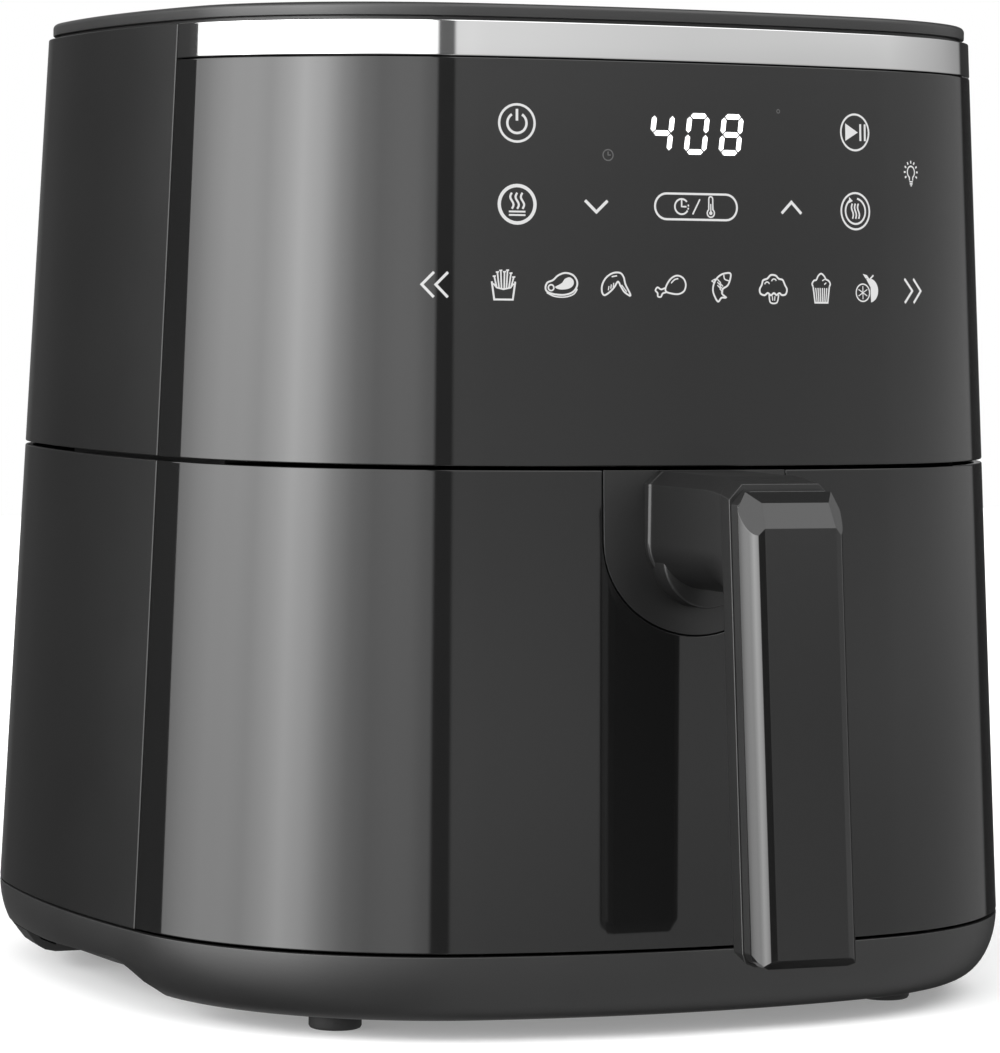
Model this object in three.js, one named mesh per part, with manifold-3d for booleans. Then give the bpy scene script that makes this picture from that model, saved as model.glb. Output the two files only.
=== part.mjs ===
// A drawer-type air fryer: a rounded-square body with a glossy front, a pull-out drawer with a
// hanging grip, and the heater, fans and boards that it holds inside.
//
// Millimetres, +Z up, standing on z = 0, with the drawer facing -Y. Everything is drawn about the
// body's own centre line, and the whole group is then moved along Y so that the origin is the
// middle of the full footprint, grip included.

import * as THREE from 'three';
import { ConvexGeometry } from 'three/addons/geometries/ConvexGeometry.js';
import { ParametricGeometry } from 'three/addons/geometries/ParametricGeometry.js';
import { mergeVertices } from 'three/addons/utils/BufferGeometryUtils.js';
import Module from 'manifold-3d';

const wasm = await Module();
wasm.setup();

// ---------------------------------------------------------------- driving dimensions

// Plan of the body at the seam between its halves: long arcs joined by corner arcs.
const HALF_WIDTH = 150.1;
const HALF_DEPTH = 154.6;
const FRONT_RADIUS = 347.5;
const SIDE_RADIUS = 500;
const CORNER_RADIUS = 95.9;
const TAPER = 0.05;            // how far each wall leans in per unit of height

// Heights above the ground.
const BASE_BOTTOM = 6.4;
const BASE_SEAM = 28.7;
const MID_SEAM = 180.3;
const CHROME_BOTTOM = 308.4;
const CHROME_TOP = 319.6;
const RIM_BOTTOM = 320.8;
const TOP = 325;

const GAP = 0.3;               // clearance between touching pieces
const HAIR = 0.35;             // half of the fine joint between two covers
const SEAM = 0.6;              // half of the dark line between the two halves of the body
const WALL = 2.5;              // moulded covers
const SHEET = 1.2;             // pressed metal
const FRONT_SEAM_Y = -63.85;   // the glossy front wraps round the corners to a plane through here
const FRONT_SEAM_LEAN = 0.0188; // and that plane leans back by this as it rises

const BOWL_DEPTH = 14;         // how far the base draws in from its seam to its flat bottom
const FOOT_X = 99.5;
const FOOT_Y = 101.7;
const FOOT_RADIUS = 8.5;

// The grip leans forward as it goes down. Depths on it are measured back from its front flat.
const GRIP_LEAN = 0.0997;
const GRIP_FRONT_Y = -241.7;   // the plane of the front flat, carried down to z = 0
const GRIP_FLAT_BOTTOM = 35.4;
const GRIP_LEDGE = 12.3;       // depth of the back shell's front edge
const GRIP_SEAM = 7.6;         // depth of the joint between the cover and the back shell
const GRIP_BACK = 22;
const STEM_HALF_WIDTH = 17.5;
const STEM_TOP = 179.6;
const REAR_REACH = 166;        // back of the vent cover, behind the body's centre line

// The drawer's pan, and the bay that it slides in.
const PAN_HALF = 126;
const PAN_CORNER = 85;
const PAN_BOTTOM = 38;
const PAN_TOP = 174;
const PAN_DRAFT = 6.5;         // how far the pan's walls lean in from its rim to its foot
const PLATE_Z = 50;
const PLATE_INSET = 10.5;
const BAY_HALF = 131;
const BAY_BACK = 130;
const BAY_CORNER = 86;
const BAY_FRONT_Y = -84;
const BAY_BOTTOM = 33;
const BAY_TOP = 181.1;
const BAY_WALL = 1.5;
const FRAME_INSET = 4.3;       // the drawer's inner frame, behind its glossy skin
const FRAME_BACK_Y = -60;
const DECK_BACK_Y = -87;

// The hot air chamber above the drawer, what turns in it, and the space above it.
const DIVIDER_TOP = 183.4;
const CHAMBER_HALF = 118;
const CHAMBER_CORNER = 70;
const CHAMBER_TOP = 222;
const ELEMENT_Z = 196;
const ELEMENT_RADIUS = 3.3;
const SHIELD_Z = 226;
const DECK_Z = SHIELD_Z + SHEET + GAP;
const BRACKET_Z = 250;
const MOTOR_TOP = 292;
const SHAFT_RADIUS = 3;
const BORE = SHAFT_RADIUS + GAP;
const DUCT_HALF = 46;
const DUCT_BOTTOM = 190;
const DUCT_TOP = 216;
const LAMP = [-92, -20];
const SENSOR = [60, -80];
const GLAND = [60, 52];        // x and z of the cord gland at the back
const SCREW_HEIGHTS = { upper: 168, lower: 151 };
const PILOT = 2.4;             // radius of the holes for the handle's screws

// ---------------------------------------------------------------- materials

function finish(color, roughness, metalness = 0) {
  return new THREE.MeshStandardMaterial({ color, roughness, metalness });
}

const glossBlack = finish(0x1c1c1d, 0.12);
const matteBlack = finish(0x2b2b2c, 0.62);
const deepBlack = finish(0x131313, 0.8);
const chrome = finish(0xd9dadb, 0.08, 1);
const nonStick = finish(0x262626, 0.45, 0.3);
const steel = finish(0xb4b6b8, 0.35, 1);
const aluminium = finish(0xc4c6c8, 0.4, 1);
const coilSteel = finish(0x77706a, 0.5, 0.8);
const rubber = finish(0x181818, 0.9);
const silicone = finish(0x303030, 0.8);
const boardGreen = finish(0x1f5a36, 0.5);
const clearGlass = finish(0xdfe6e6, 0.05);

// ---------------------------------------------------------------- solids

/** A closed three.js geometry as a manifold solid, with its faces pointing out. */
function solid(geometry) {
  const bare = new THREE.BufferGeometry();
  bare.setAttribute('position', geometry.getAttribute('position'));
  bare.setIndex(geometry.getIndex());
  const merged = mergeVertices(bare, 1e-4);
  const positions = merged.getAttribute('position').array;
  const index = merged.getIndex().array;
  const corner = (i) => new THREE.Vector3().fromArray(positions, 3 * i);
  const triangles = [];
  let volume = 0;
  for (let i = 0; i < index.length; i += 3) {
    const [a, b, c] = [index[i], index[i + 1], index[i + 2]];
    if (a === b || b === c || c === a) continue;
    volume += corner(a).dot(corner(b).cross(corner(c)));
    triangles.push(a, b, c);
  }
  if (volume < 0) triangles.reverse();
  return new wasm.Manifold(new wasm.Mesh({
    numProp: 3,
    vertProperties: new Float32Array(positions),
    triVerts: new Uint32Array(triangles),
  }));
}

function box([x0, y0, z0], [x1, y1, z1]) {
  const geometry = new THREE.BoxGeometry(x1 - x0, y1 - y0, z1 - z0);
  return solid(geometry.translate((x0 + x1) / 2, (y0 + y1) / 2, (z0 + z1) / 2));
}

/** An upright cylinder. */
function post(radius, z0, z1, [x, y] = [0, 0], sides = 24) {
  const geometry = new THREE.CylinderGeometry(radius, radius, z1 - z0, sides);
  return solid(geometry.rotateX(Math.PI / 2).translate(x, y, (z0 + z1) / 2));
}

/** A cylinder along Y. */
function rod(radius, y0, y1, [x, z], sides = 16) {
  const geometry = new THREE.CylinderGeometry(radius, radius, y1 - y0, sides);
  return solid(geometry.translate(x, (y0 + y1) / 2, z));
}

/** A turned piece about the Z axis, from [radius, z] points on a closed line. */
function turned(points, sides = 32) {
  const profile = [...points, points[0]].map(([r, z]) => new THREE.Vector2(r, z));
  return solid(new THREE.LatheGeometry(profile, sides).rotateX(Math.PI / 2));
}

function outlineOf(points) {
  return new THREE.Shape(points.map(([a, b]) => new THREE.Vector2(a, b)));
}

function extruded(shape, depth) {
  return new THREE.ExtrudeGeometry(shape, { depth, bevelEnabled: false, curveSegments: 8 });
}

/** A prism with its (x, y) outline standing up from z0 to z1. */
function prismZ(shape, z0, z1) {
  return solid(extruded(shape, z1 - z0).translate(0, 0, z0));
}

/** A prism with its (x, z) outline running from y0 to y1. */
function prismY(shape, y0, y1) {
  return solid(extruded(shape, y1 - y0).rotateX(Math.PI / 2).translate(0, y1, 0));
}

/** A prism with its (y, z) outline running from x0 to x1. */
function prismX(shape, x0, x1) {
  const axes = new THREE.Matrix4().makeBasis(
    new THREE.Vector3(0, 1, 0),
    new THREE.Vector3(0, 0, 1),
    new THREE.Vector3(1, 0, 0),
  );
  return solid(extruded(shape, x1 - x0).applyMatrix4(axes).translate(x0, 0, 0));
}

function hull(points) {
  return solid(new ConvexGeometry(points.map(([x, y, z]) => new THREE.Vector3(x, y, z))));
}

function join(...pieces) {
  return pieces.reduce((whole, next) => whole.add(next));
}

function cut(piece, ...tools) {
  return tools.reduce((left, tool) => left.subtract(tool), piece);
}

const FAR = 400;
const ahead = (y) => box([-FAR, -FAR, -FAR], [FAR, y, FAR]);

/** Everything in front of the leaning seam between the front and the side shells. */
function aheadOfSeam(shift) {
  const seamY = (z) => FRONT_SEAM_Y + FRONT_SEAM_LEAN * z + shift;
  return prismX(outlineOf([[-FAR, 0], [seamY(0), 0], [seamY(TOP), TOP], [-FAR, TOP]]), -FAR, FAR);
}

// ---------------------------------------------------------------- plan outlines

/** Points and outward normals along an arc, without its end point. */
function arc(cx, cy, radius, from, to, steps) {
  return Array.from({ length: steps }, (_, i) => {
    const angle = from + ((to - from) * i) / steps;
    const normal = new THREE.Vector2(Math.cos(angle), Math.sin(angle));
    return { x: cx + radius * normal.x, y: cy + radius * normal.y, normal };
  });
}

/** Where a corner arc's centre lies, so that it touches the front arc and the side arc. */
function cornerCentre(frontY, sideX) {
  const toFront = FRONT_RADIUS - CORNER_RADIUS;
  const toSide = SIDE_RADIUS - CORNER_RADIUS;
  const span = Math.hypot(sideX, frontY);
  const along = (toFront ** 2 - toSide ** 2 + span ** 2) / (2 * span);
  const across = Math.sqrt(toFront ** 2 - along ** 2);
  return [
    (along * sideX - across * frontY) / span,
    frontY - (along * frontY + across * sideX) / span,
  ];
}

/** The body's plan: four long arcs and four corner arcs, anticlockwise from the right side. */
function bodyOutline() {
  const frontY = HALF_DEPTH - FRONT_RADIUS;
  const sideX = HALF_WIDTH - SIDE_RADIUS;
  const [cornerX, cornerY] = cornerCentre(frontY, sideX);
  const front = Math.atan2(cornerY - frontY, cornerX);
  const side = Math.atan2(cornerY, cornerX - sideX);
  const half = Math.PI;
  const [longSteps, cornerSteps] = [4, 7];
  return [
    ...arc(sideX, 0, SIDE_RADIUS, -side, side, longSteps),
    ...arc(cornerX, cornerY, CORNER_RADIUS, side, front, cornerSteps),
    ...arc(0, frontY, FRONT_RADIUS, front, half - front, longSteps),
    ...arc(-cornerX, cornerY, CORNER_RADIUS, half - front, half - side, cornerSteps),
    ...arc(-sideX, 0, SIDE_RADIUS, half - side, half + side, longSteps),
    ...arc(-cornerX, -cornerY, CORNER_RADIUS, half + side, half + front, cornerSteps),
    ...arc(0, -frontY, FRONT_RADIUS, half + front, 2 * half - front, longSteps),
    ...arc(cornerX, -cornerY, CORNER_RADIUS, -front, -side, cornerSteps),
  ];
}

/** A rounded square about the centre line. */
function roundedOutline(half, radius, steps = 6) {
  const quarter = Math.PI / 2;
  const centre = half - radius;
  return [[1, 1], [-1, 1], [-1, -1], [1, -1]].flatMap(([sx, sy], i) => [
    ...arc(sx * centre, sy * centre, radius, i * quarter, (i + 1) * quarter, steps),
    ...arc(sx * centre, sy * centre, radius, (i + 1) * quarter, (i + 2) * quarter, 1),
  ]);
}

const BODY = bodyOutline();
const PAN = roundedOutline(PAN_HALF, PAN_CORNER);
const CHAMBER = roundedOutline(CHAMBER_HALF, CHAMBER_CORNER);

/** How far the body's outer face stands outside its plan at a height. */
const outer = (z) => TAPER * (MID_SEAM - z);

/** A solid through stacked copies of an outline: levels are [z, offset], bottom first. */
function loft(outline, levels) {
  const last = levels.length + 1;
  const place = (u, v, target) => {
    const { x, y, normal } = outline[Math.round(u * outline.length) % outline.length];
    const row = Math.round(v * last);
    const [z, offset] = levels[Math.min(Math.max(row - 1, 0), levels.length - 1)];
    if (row === 0 || row === last) target.set(0, 0, z);
    else target.set(x + offset * normal.x, y + offset * normal.y, z);
  };
  return solid(new ParametricGeometry(place, outline.length, last));
}

/** A ring: a closed [offset, z] section carried round an outline. */
function ring(outline, section) {
  const place = (u, v, target) => {
    const { x, y, normal } = outline[Math.round(u * outline.length) % outline.length];
    const [offset, z] = section[Math.round(v * section.length) % section.length];
    target.set(x + offset * normal.x, y + offset * normal.y, z);
  };
  return solid(new ParametricGeometry(place, outline.length, section.length));
}

/** A wall of the body between two heights, following its lean. */
function bodyWall(z0, z1, inset = 0, thickness = WALL) {
  return ring(BODY, [
    [outer(z0) - inset, z0],
    [outer(z1) - inset, z1],
    [outer(z1) - inset - thickness, z1],
    [outer(z0) - inset - thickness, z0],
  ]);
}

/** Everything inside the body's outer face, grown by a clearance. */
function bodyVolume(clearance) {
  return loft(BODY, [[0, outer(0) + clearance], [TOP, outer(TOP) + clearance]]);
}

// ---------------------------------------------------------------- base

/** Offset of the bowl-shaped lower edge at a height, on its outside or a wall's thickness in. */
function bowlOffset(z, inset = 0) {
  const drop = (BASE_SEAM - z) / (BASE_SEAM - BASE_BOTTOM - inset);
  const draw = (BOWL_DEPTH - inset) * (1 - Math.sqrt(Math.max(0, 1 - drop ** 2)));
  return outer(BASE_SEAM) - inset - draw;
}

const SKIRT_TOP = BASE_SEAM - 0.5;
const FLOOR_TOP = BASE_BOTTOM + WALL;
const FLOOR_EDGE = bowlOffset(BASE_BOTTOM) - SEAM;

/** The skirt: full depth at the front, arched up at the sides, shallow round the back. */
function baseSkirt() {
  const outside = [BASE_BOTTOM, 7.2, 9.5, 14, 20, SKIRT_TOP].map((z) => [bowlOffset(z), z]);
  const inside = [SKIRT_TOP, 16, 11, FLOOR_TOP].map((z) => [bowlOffset(z, WALL), z]);
  const arch = outlineOf([[-66, -9], [-66, 6], [-62, 9], [-54, 14.2], [-44, 17.2], [0, 15.4],
    [20, RECESS_ROOF + GAP], [FAR, RECESS_ROOF + GAP], [FAR, -9]]);
  return cut(ring(BODY, [...outside, ...inside]), prismX(arch, -FAR, FAR));
}

// Finger recesses under both sides, for lifting.
const RECESS_X = 102;
const RECESS_FRONT_Y = -58;
const RECESS_BACK_Y = 50;
const RECESS_ROOF = 14.3;

/** A box on the right side, or its mirror image on the left. */
function sideBox(side, [x0, y0, z0], [x1, y1, z1]) {
  const [left, right] = side > 0 ? [x0, x1] : [-x1, -x0];
  return box([left, y0, z0], [right, y1, z1]);
}

function recessLining(side) {
  const walls = sideBox(
    side,
    [RECESS_X - WALL, RECESS_FRONT_Y - WALL, BASE_BOTTOM],
    [FAR, RECESS_BACK_Y + WALL, RECESS_ROOF + WALL],
  );
  const roof = sideBox(
    side,
    [RECESS_X - WALL, RECESS_FRONT_Y, RECESS_ROOF],
    [FAR, RECESS_BACK_Y, RECESS_ROOF + WALL],
  );
  const inside = (offset) => loft(BODY, [[0, offset], [FAR, offset]]);
  return join(walls.intersect(inside(FLOOR_EDGE)), roof.intersect(inside(1)));
}

function recessSpace(side) {
  return sideBox(side, [RECESS_X, RECESS_FRONT_Y, -FAR], [FAR, RECESS_BACK_Y, RECESS_ROOF]);
}

/** The underside: a floor inside the skirt that carries on the bowl's lower edge at the back. */
function bottomPan() {
  const rim = RECESS_ROOF - GAP;
  const bowl = loft(BODY, [BASE_BOTTOM, 7.2, 9.5, rim].map((z) => [z, bowlOffset(z)]));
  const hollow = loft(BODY, [FLOOR_TOP, 11, rim + 1].map((z) => [z, bowlOffset(z, WALL)]));
  const border = ring(BODY, [[FLOOR_EDGE, -FAR], [FAR, -FAR], [FAR, FAR], [FLOOR_EDGE, FAR]]);
  const tray = cut(bowl, hollow, border.intersect(ahead(RECESS_BACK_Y)));
  const lined = join(tray, recessLining(1), recessLining(-1));
  const holes = BASE_SCREWS.map(({ at }) => post(2.2, 0, 20, at, 12));
  const seats = BASE_SCREWS.map(({ at }) => post(4.2, 0, 7.6, at, 12));
  return cut(lined, recessSpace(1), recessSpace(-1), ...holes, ...seats);
}

function foot() {
  const top = BASE_BOTTOM - GAP;
  return turned([[0, 0], [FOOT_RADIUS - 1, 0], [FOOT_RADIUS, 1], [FOOT_RADIUS, top], [0, top]], 20);
}

// The base screws go up through the floor into bosses under the bay.
const BASE_SCREWS = [
  { place: 'front_left', at: [-85, -60] },
  { place: 'front_right', at: [85, -60] },
  { place: 'rear_left', at: [-85, 80] },
  { place: 'rear_right', at: [85, 80] },
];

function baseScrew() {
  return join(post(3.6, 6.6, 7.3, [0, 0], 12), post(1.6, 7.2, 26, [0, 0], 12));
}

// ---------------------------------------------------------------- outer shells

function lowerSideShell() {
  const wall = bodyWall(BASE_SEAM + 0.5, MID_SEAM - SEAM);
  return cut(wall, aheadOfSeam(HAIR), rod(7.2, 100, 200, GLAND));
}

function upperSideShell() {
  const wall = bodyWall(MID_SEAM + SEAM, CHROME_TOP);
  const outlet = box([-DUCT_HALF, 100, DUCT_BOTTOM], [DUCT_HALF, 200, DUCT_TOP]);
  return cut(wall, aheadOfSeam(HAIR), outlet);
}

function touchPanel() {
  const wall = bodyWall(MID_SEAM + SEAM, CHROME_BOTTOM - HAIR);
  return wall.intersect(aheadOfSeam(-HAIR));
}

function chromeTrim() {
  return bodyWall(CHROME_BOTTOM, CHROME_TOP).intersect(aheadOfSeam(-HAIR));
}

/** The lid: a soft rim round a slightly sunken deck, with a lip that plugs into the shells. */
function topCover() {
  const edge = outer(TOP) - 1.2;
  const crown = loft(BODY, [[RIM_BOTTOM, edge], [TOP - 1.4, edge], [TOP, edge - 1.6]]);
  const deck = loft(BODY, [[TOP - 0.8, edge - 8], [TOP + 1, edge - 8]]);
  const underside = loft(BODY, [[RIM_BOTTOM - 1, edge - 4.5], [TOP - 2.6, edge - 4.5]]);
  const lip = ring(BODY, [
    [edge - 4.6, 312],
    [edge - 2.4, 312],
    [edge - 2.4, RIM_BOTTOM + 1],
    [edge - 4.6, RIM_BOTTOM + 1],
  ]);
  return join(cut(crown, deck, underside), lip);
}

/** The vent cover at the back: a louvred box that also keeps the fryer off the wall. */
function rearVentCover() {
  const [half, bottom, top] = [DUCT_HALF + 6, DUCT_BOTTOM - 4, DUCT_TOP + 20];
  const block = box([-half, 140, bottom], [half, REAR_REACH, top]);
  const hollow = box(
    [-half + WALL, 100, bottom + WALL],
    [half - WALL, REAR_REACH - WALL, top - WALL],
  );
  const slots = Array.from({ length: 6 }, (_, i) => {
    const z = bottom + 6 + i * 6.8;
    return box([-half + 7, 150, z], [half - 7, 200, z + 3.4]);
  });
  return cut(block, bodyVolume(GAP), hollow, ...slots);
}

/** The gland that the mains lead comes out of. */
function cordGland() {
  const flange = cut(rod(11, 140, 161, GLAND, 20), bodyVolume(GAP));
  return cut(join(flange, rod(6.8, 144, 159, GLAND)), rod(3.6, 100, 200, GLAND));
}

// ---------------------------------------------------------------- bay and hot air chamber

/** Plan of the bay: straight sides from the front, and rounded back corners. */
function bayPlan(half, back, radius, frontY) {
  const plan = new THREE.Shape();
  plan.moveTo(-half, frontY);
  plan.lineTo(half, frontY);
  plan.lineTo(half, back - radius);
  plan.absarc(half - radius, back - radius, radius, 0, Math.PI / 2);
  plan.absarc(radius - half, back - radius, radius, Math.PI / 2, Math.PI);
  return plan;
}

/** The bay that the drawer slides in, with runners for the pan and bosses for the screws. */
function drawerBay() {
  const shell = cut(
    prismZ(
      bayPlan(BAY_HALF + BAY_WALL, BAY_BACK + BAY_WALL, BAY_CORNER + BAY_WALL, BAY_FRONT_Y),
      BAY_BOTTOM,
      BAY_TOP,
    ),
    prismZ(
      bayPlan(BAY_HALF, BAY_BACK, BAY_CORNER, BAY_FRONT_Y - 10),
      BAY_BOTTOM + BAY_WALL,
      BAY_TOP - BAY_WALL,
    ),
    loft(roundedOutline(110, 64), [[BAY_TOP - 5, 0], [BAY_TOP + 5, 0]]),
  );
  const runners = [-60, 60].map((x) => box(
    [x - 3, BAY_FRONT_Y, BAY_BOTTOM + 1],
    [x + 3, 100, PAN_BOTTOM - GAP],
  ));
  const bosses = BASE_SCREWS.map(({ at }) => post(4.5, FLOOR_TOP + GAP, BAY_BOTTOM + 1, at, 12));
  const pilots = BASE_SCREWS.map(({ at }) => post(1.9, 0, 28, at, 12));
  return cut(join(shell, ...runners, ...bosses), ...pilots);
}

/** The floor of the upper body, with the opening that hot air comes down through. */
function dividerPlate() {
  const edge = -WALL - 0.6;
  const plate = loft(BODY, [[BAY_TOP + GAP, edge], [DIVIDER_TOP, edge]]);
  return cut(plate, loft(roundedOutline(112, 66), [[100, 0], [FAR, 0]]));
}

function chamberHoles(z0, z1) {
  const legs = ELEMENT_LEGS.map((at) => post(ELEMENT_RADIUS + 1.2, z0, z1, at, 12));
  return [
    post(6, z0, z1, [0, 0], 16),
    post(11, z0, z1, LAMP, 20),
    post(2.6, z0, z1, SENSOR, 10),
    ...legs,
  ];
}

/** The pressed dome over the food, with its outlet to the duct at the back. */
function heatChamber() {
  const shell = cut(
    loft(CHAMBER, [[DIVIDER_TOP + GAP, 0], [CHAMBER_TOP - 8, 0], [CHAMBER_TOP, -8]]),
    loft(CHAMBER, [
      [DIVIDER_TOP - 1, -SHEET],
      [CHAMBER_TOP - 8.5, -SHEET],
      [CHAMBER_TOP - SHEET, -8.6],
    ]),
  );
  const flange = ring(CHAMBER, [
    [-0.5, DIVIDER_TOP + GAP],
    [7, DIVIDER_TOP + GAP],
    [7, DIVIDER_TOP + GAP + SHEET],
    [-0.5, DIVIDER_TOP + GAP + SHEET],
  ]);
  const outlet = box([-40, 100, DUCT_BOTTOM + 4], [40, 130, CHAMBER_TOP - 10]);
  return cut(join(shell, flange), outlet, ...chamberHoles(CHAMBER_TOP - 6, CHAMBER_TOP + 6));
}

// The element is one tube: up one leg, round the outer turn, in, round the inner turn, and up.
const OUTER_TURN = 88;
const INNER_TURN = 66;
const LEG_TOP = 240;
const TURN_START = 1.75;
const TURN_SWEEP = 5.6;
const onTurn = (radius, angle) => [radius * Math.cos(angle), radius * Math.sin(angle)];
const ELEMENT_LEGS = [
  onTurn(OUTER_TURN, TURN_START),
  onTurn(INNER_TURN, TURN_START + 2 * TURN_SWEEP + 0.7),
];

function elementPath() {
  const turn = (radius, start) => Array.from({ length: 13 }, (_, i) => {
    const [x, y] = onTurn(radius, start + (TURN_SWEEP * i) / 12);
    return new THREE.Vector3(x, y, ELEMENT_Z);
  });
  const leg = ([x, y]) => [LEG_TOP, 224, 206].map((z) => new THREE.Vector3(x, y, z));
  return new THREE.CatmullRomCurve3([
    ...leg(ELEMENT_LEGS[0]),
    ...turn(OUTER_TURN, TURN_START + 0.12),
    ...turn(INNER_TURN, TURN_START + TURN_SWEEP + 0.5),
    ...leg(ELEMENT_LEGS[1]).reverse(),
  ], false, 'centripetal');
}

function heatingElement() {
  const section = new THREE.Shape().absarc(0, 0, ELEMENT_RADIUS, 0, 2 * Math.PI);
  return solid(new THREE.ExtrudeGeometry(section, {
    steps: 70,
    curveSegments: 3,
    extrudePath: elementPath(),
  }));
}

/** The wire guard under the element. */
function elementGuard() {
  const [z0, z1] = [DIVIDER_TOP + GAP, DIVIDER_TOP + GAP + 2];
  const hoops = [38, 71, 104].map((r) => turned([
    [r - 1, z0],
    [r + 1, z0],
    [r + 1, z1],
    [r - 1, z1],
  ], 22));
  const bars = [box([-115.5, -1, z0], [115.5, 1, z1]), box([-1, -115.5, z0], [1, 115.5, z1])];
  return join(...hoops, ...bars);
}

/** Blades standing on a disc, turned a little out of the radial line. */
function blades(count, inner, reach, z0, z1) {
  return Array.from({ length: count }, (_, i) => {
    const geometry = new THREE.BoxGeometry(reach - inner, 1.2, z1 - z0);
    geometry.rotateZ(0.35).translate((inner + reach) / 2, 0, (z0 + z1) / 2);
    return solid(geometry.rotateZ((2 * Math.PI * i) / count));
  });
}

function fanWheel({ radius, bottom, top, hubRadius, bladeCount, thickness }) {
  const disc = post(radius, bottom, bottom + thickness, [0, 0], 36);
  const hub = post(hubRadius, bottom - 0.5, top, [0, 0], 16);
  const vanes = blades(bladeCount, radius * 0.5, radius * 0.95, bottom + thickness / 2, top);
  return cut(join(disc, hub, ...vanes), post(BORE, 0, FAR, [0, 0], 16));
}

const circulationFan = () => fanWheel({
  radius: 59, bottom: 204, top: 216, hubRadius: 8, bladeCount: 10, thickness: 1,
});

const coolingFan = () => fanWheel({
  radius: 58, bottom: 231, top: 245, hubRadius: 9, bladeCount: 8, thickness: 1.5,
});

const motorShaft = () => post(SHAFT_RADIUS, 201, MOTOR_TOP + 6, [0, 0], 16);

function heatShield() {
  const plate = loft(roundedOutline(122, 62), [[SHIELD_Z, 0], [SHIELD_Z + SHEET, 0]]);
  const spacers = [[70, 70], [-70, 70], [-70, -70], [70, -70]]
    .map((at) => post(3.5, CHAMBER_TOP + GAP, SHIELD_Z + 0.5, at, 10));
  return cut(join(plate, ...spacers), ...chamberHoles(SHIELD_Z - 1, SHIELD_Z + 6));
}

/** The bridge that carries the motor over the cooling fan. */
function motorBracket() {
  const deck = box([-66, -22, BRACKET_Z], [66, 22, BRACKET_Z + 2]);
  const legs = [-1, 1].flatMap((side) => [
    sideBox(side, [64, -22, DECK_Z], [66, 22, BRACKET_Z + 1]),
    sideBox(side, [64, -22, DECK_Z], [76, 22, DECK_Z + 1.5]),
  ]);
  return cut(join(deck, ...legs), post(6, 200, FAR, [0, 0], 16));
}

function fanMotor() {
  const can = post(32, BRACKET_Z + 2 + GAP, MOTOR_TOP - 4, [0, 0], 28);
  const boss = post(11, MOTOR_TOP - 5, MOTOR_TOP, [0, 0], 16);
  return cut(join(can, boss), post(BORE, 0, FAR, [0, 0], 16));
}

/** The duct from the chamber's outlet to the vent at the back. */
function exhaustDuct() {
  const [front, back] = [CHAMBER_HALF + GAP, 146.8];
  return cut(
    box([-DUCT_HALF, front, DUCT_BOTTOM], [DUCT_HALF, back, DUCT_TOP]),
    box([1.5 - DUCT_HALF, 0, DUCT_BOTTOM + 1.5], [DUCT_HALF - 1.5, 200, DUCT_TOP - 1.5]),
  );
}

// ---------------------------------------------------------------- electrics

const BOARD_Z = 240;
const BOARD_TOP = BOARD_Z + 1.6 + GAP;

/** The mains board over the shield, on four pillars. */
function powerBoard() {
  const pillars = [[86, -48], [86, 48], [116, -48], [116, 48]]
    .map((at) => post(3, DECK_Z, BOARD_Z + 0.5, at, 10));
  return join(box([80, -55, BOARD_Z], [132, 55, BOARD_Z + 1.6]), ...pillars);
}

const transformer = () => box([90, -12, BOARD_TOP], [116, 18, BOARD_TOP + 20]);
const heaterRelay = () => box([92, 26, BOARD_TOP], [108, 44, BOARD_TOP + 14]);
const smoothingCapacitor = () => post(9, BOARD_TOP, BOARD_TOP + 26, [104, -34], 16);

// Behind the touch panel: the display on the control board, and the carrier that holds them.
const controlBoard = () => box([-70, -135.6, 214], [70, -134, 297]);
const displayModule = () => box([-25, -143, 274], [25, -135.6 - GAP, 295]);
const boardCarrier = () => box([-80, -134 + GAP, DIVIDER_TOP + GAP], [80, -131.2, 302]);

function lampHolder() {
  const cup = turned([[12, DECK_Z], [14, DECK_Z], [14, 254], [3, 254], [3, 252], [12, 252]], 20);
  return cup.translate([...LAMP, 0]);
}

function lampBulb() {
  const profile = [[0, 229], [3.5, 230.5], [5, 234], [5, 240], [3, 245], [3, 250], [0, 250]];
  return turned(profile, 16).translate([...LAMP, 0]);
}

const lampLens = () => post(13.2, CHAMBER_TOP + GAP, SHIELD_Z - GAP, LAMP, 20);

function temperatureSensor() {
  return join(post(2, 206, 238, SENSOR, 10), post(6, DECK_Z, DECK_Z + 2, SENSOR, 12));
}

const thermalCutout = () => post(9, DECK_Z, DECK_Z + 8, [-70, 58], 16);
const drawerSwitch = () => box([134.5, -52, 150], [141, -32, 162]);

// ---------------------------------------------------------------- drawer

/** The U-shaped plate round the root of the handle, as an (x, z) outline. */
function mountOutline(grow = 0) {
  const [halfWidth, centreZ, drop] = [32 + grow, 157, 29.3 + grow];
  const outline = new THREE.Shape();
  outline.moveTo(halfWidth, MID_SEAM - SEAM + 10 * grow);
  outline.lineTo(-halfWidth, MID_SEAM - SEAM + 10 * grow);
  outline.absellipse(0, centreZ, halfWidth, drop, Math.PI, 2 * Math.PI);
  return outline;
}

const screwShafts = (radius, y0, y1) => Object.values(SCREW_HEIGHTS)
  .map((z) => rod(radius, y0, y1, [0, z], 12));

function drawerFront() {
  const skin = bodyWall(BASE_SEAM + 0.5, MID_SEAM - SEAM).intersect(aheadOfSeam(-HAIR));
  return cut(skin, prismY(mountOutline(HAIR), -FAR, -100));
}

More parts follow.
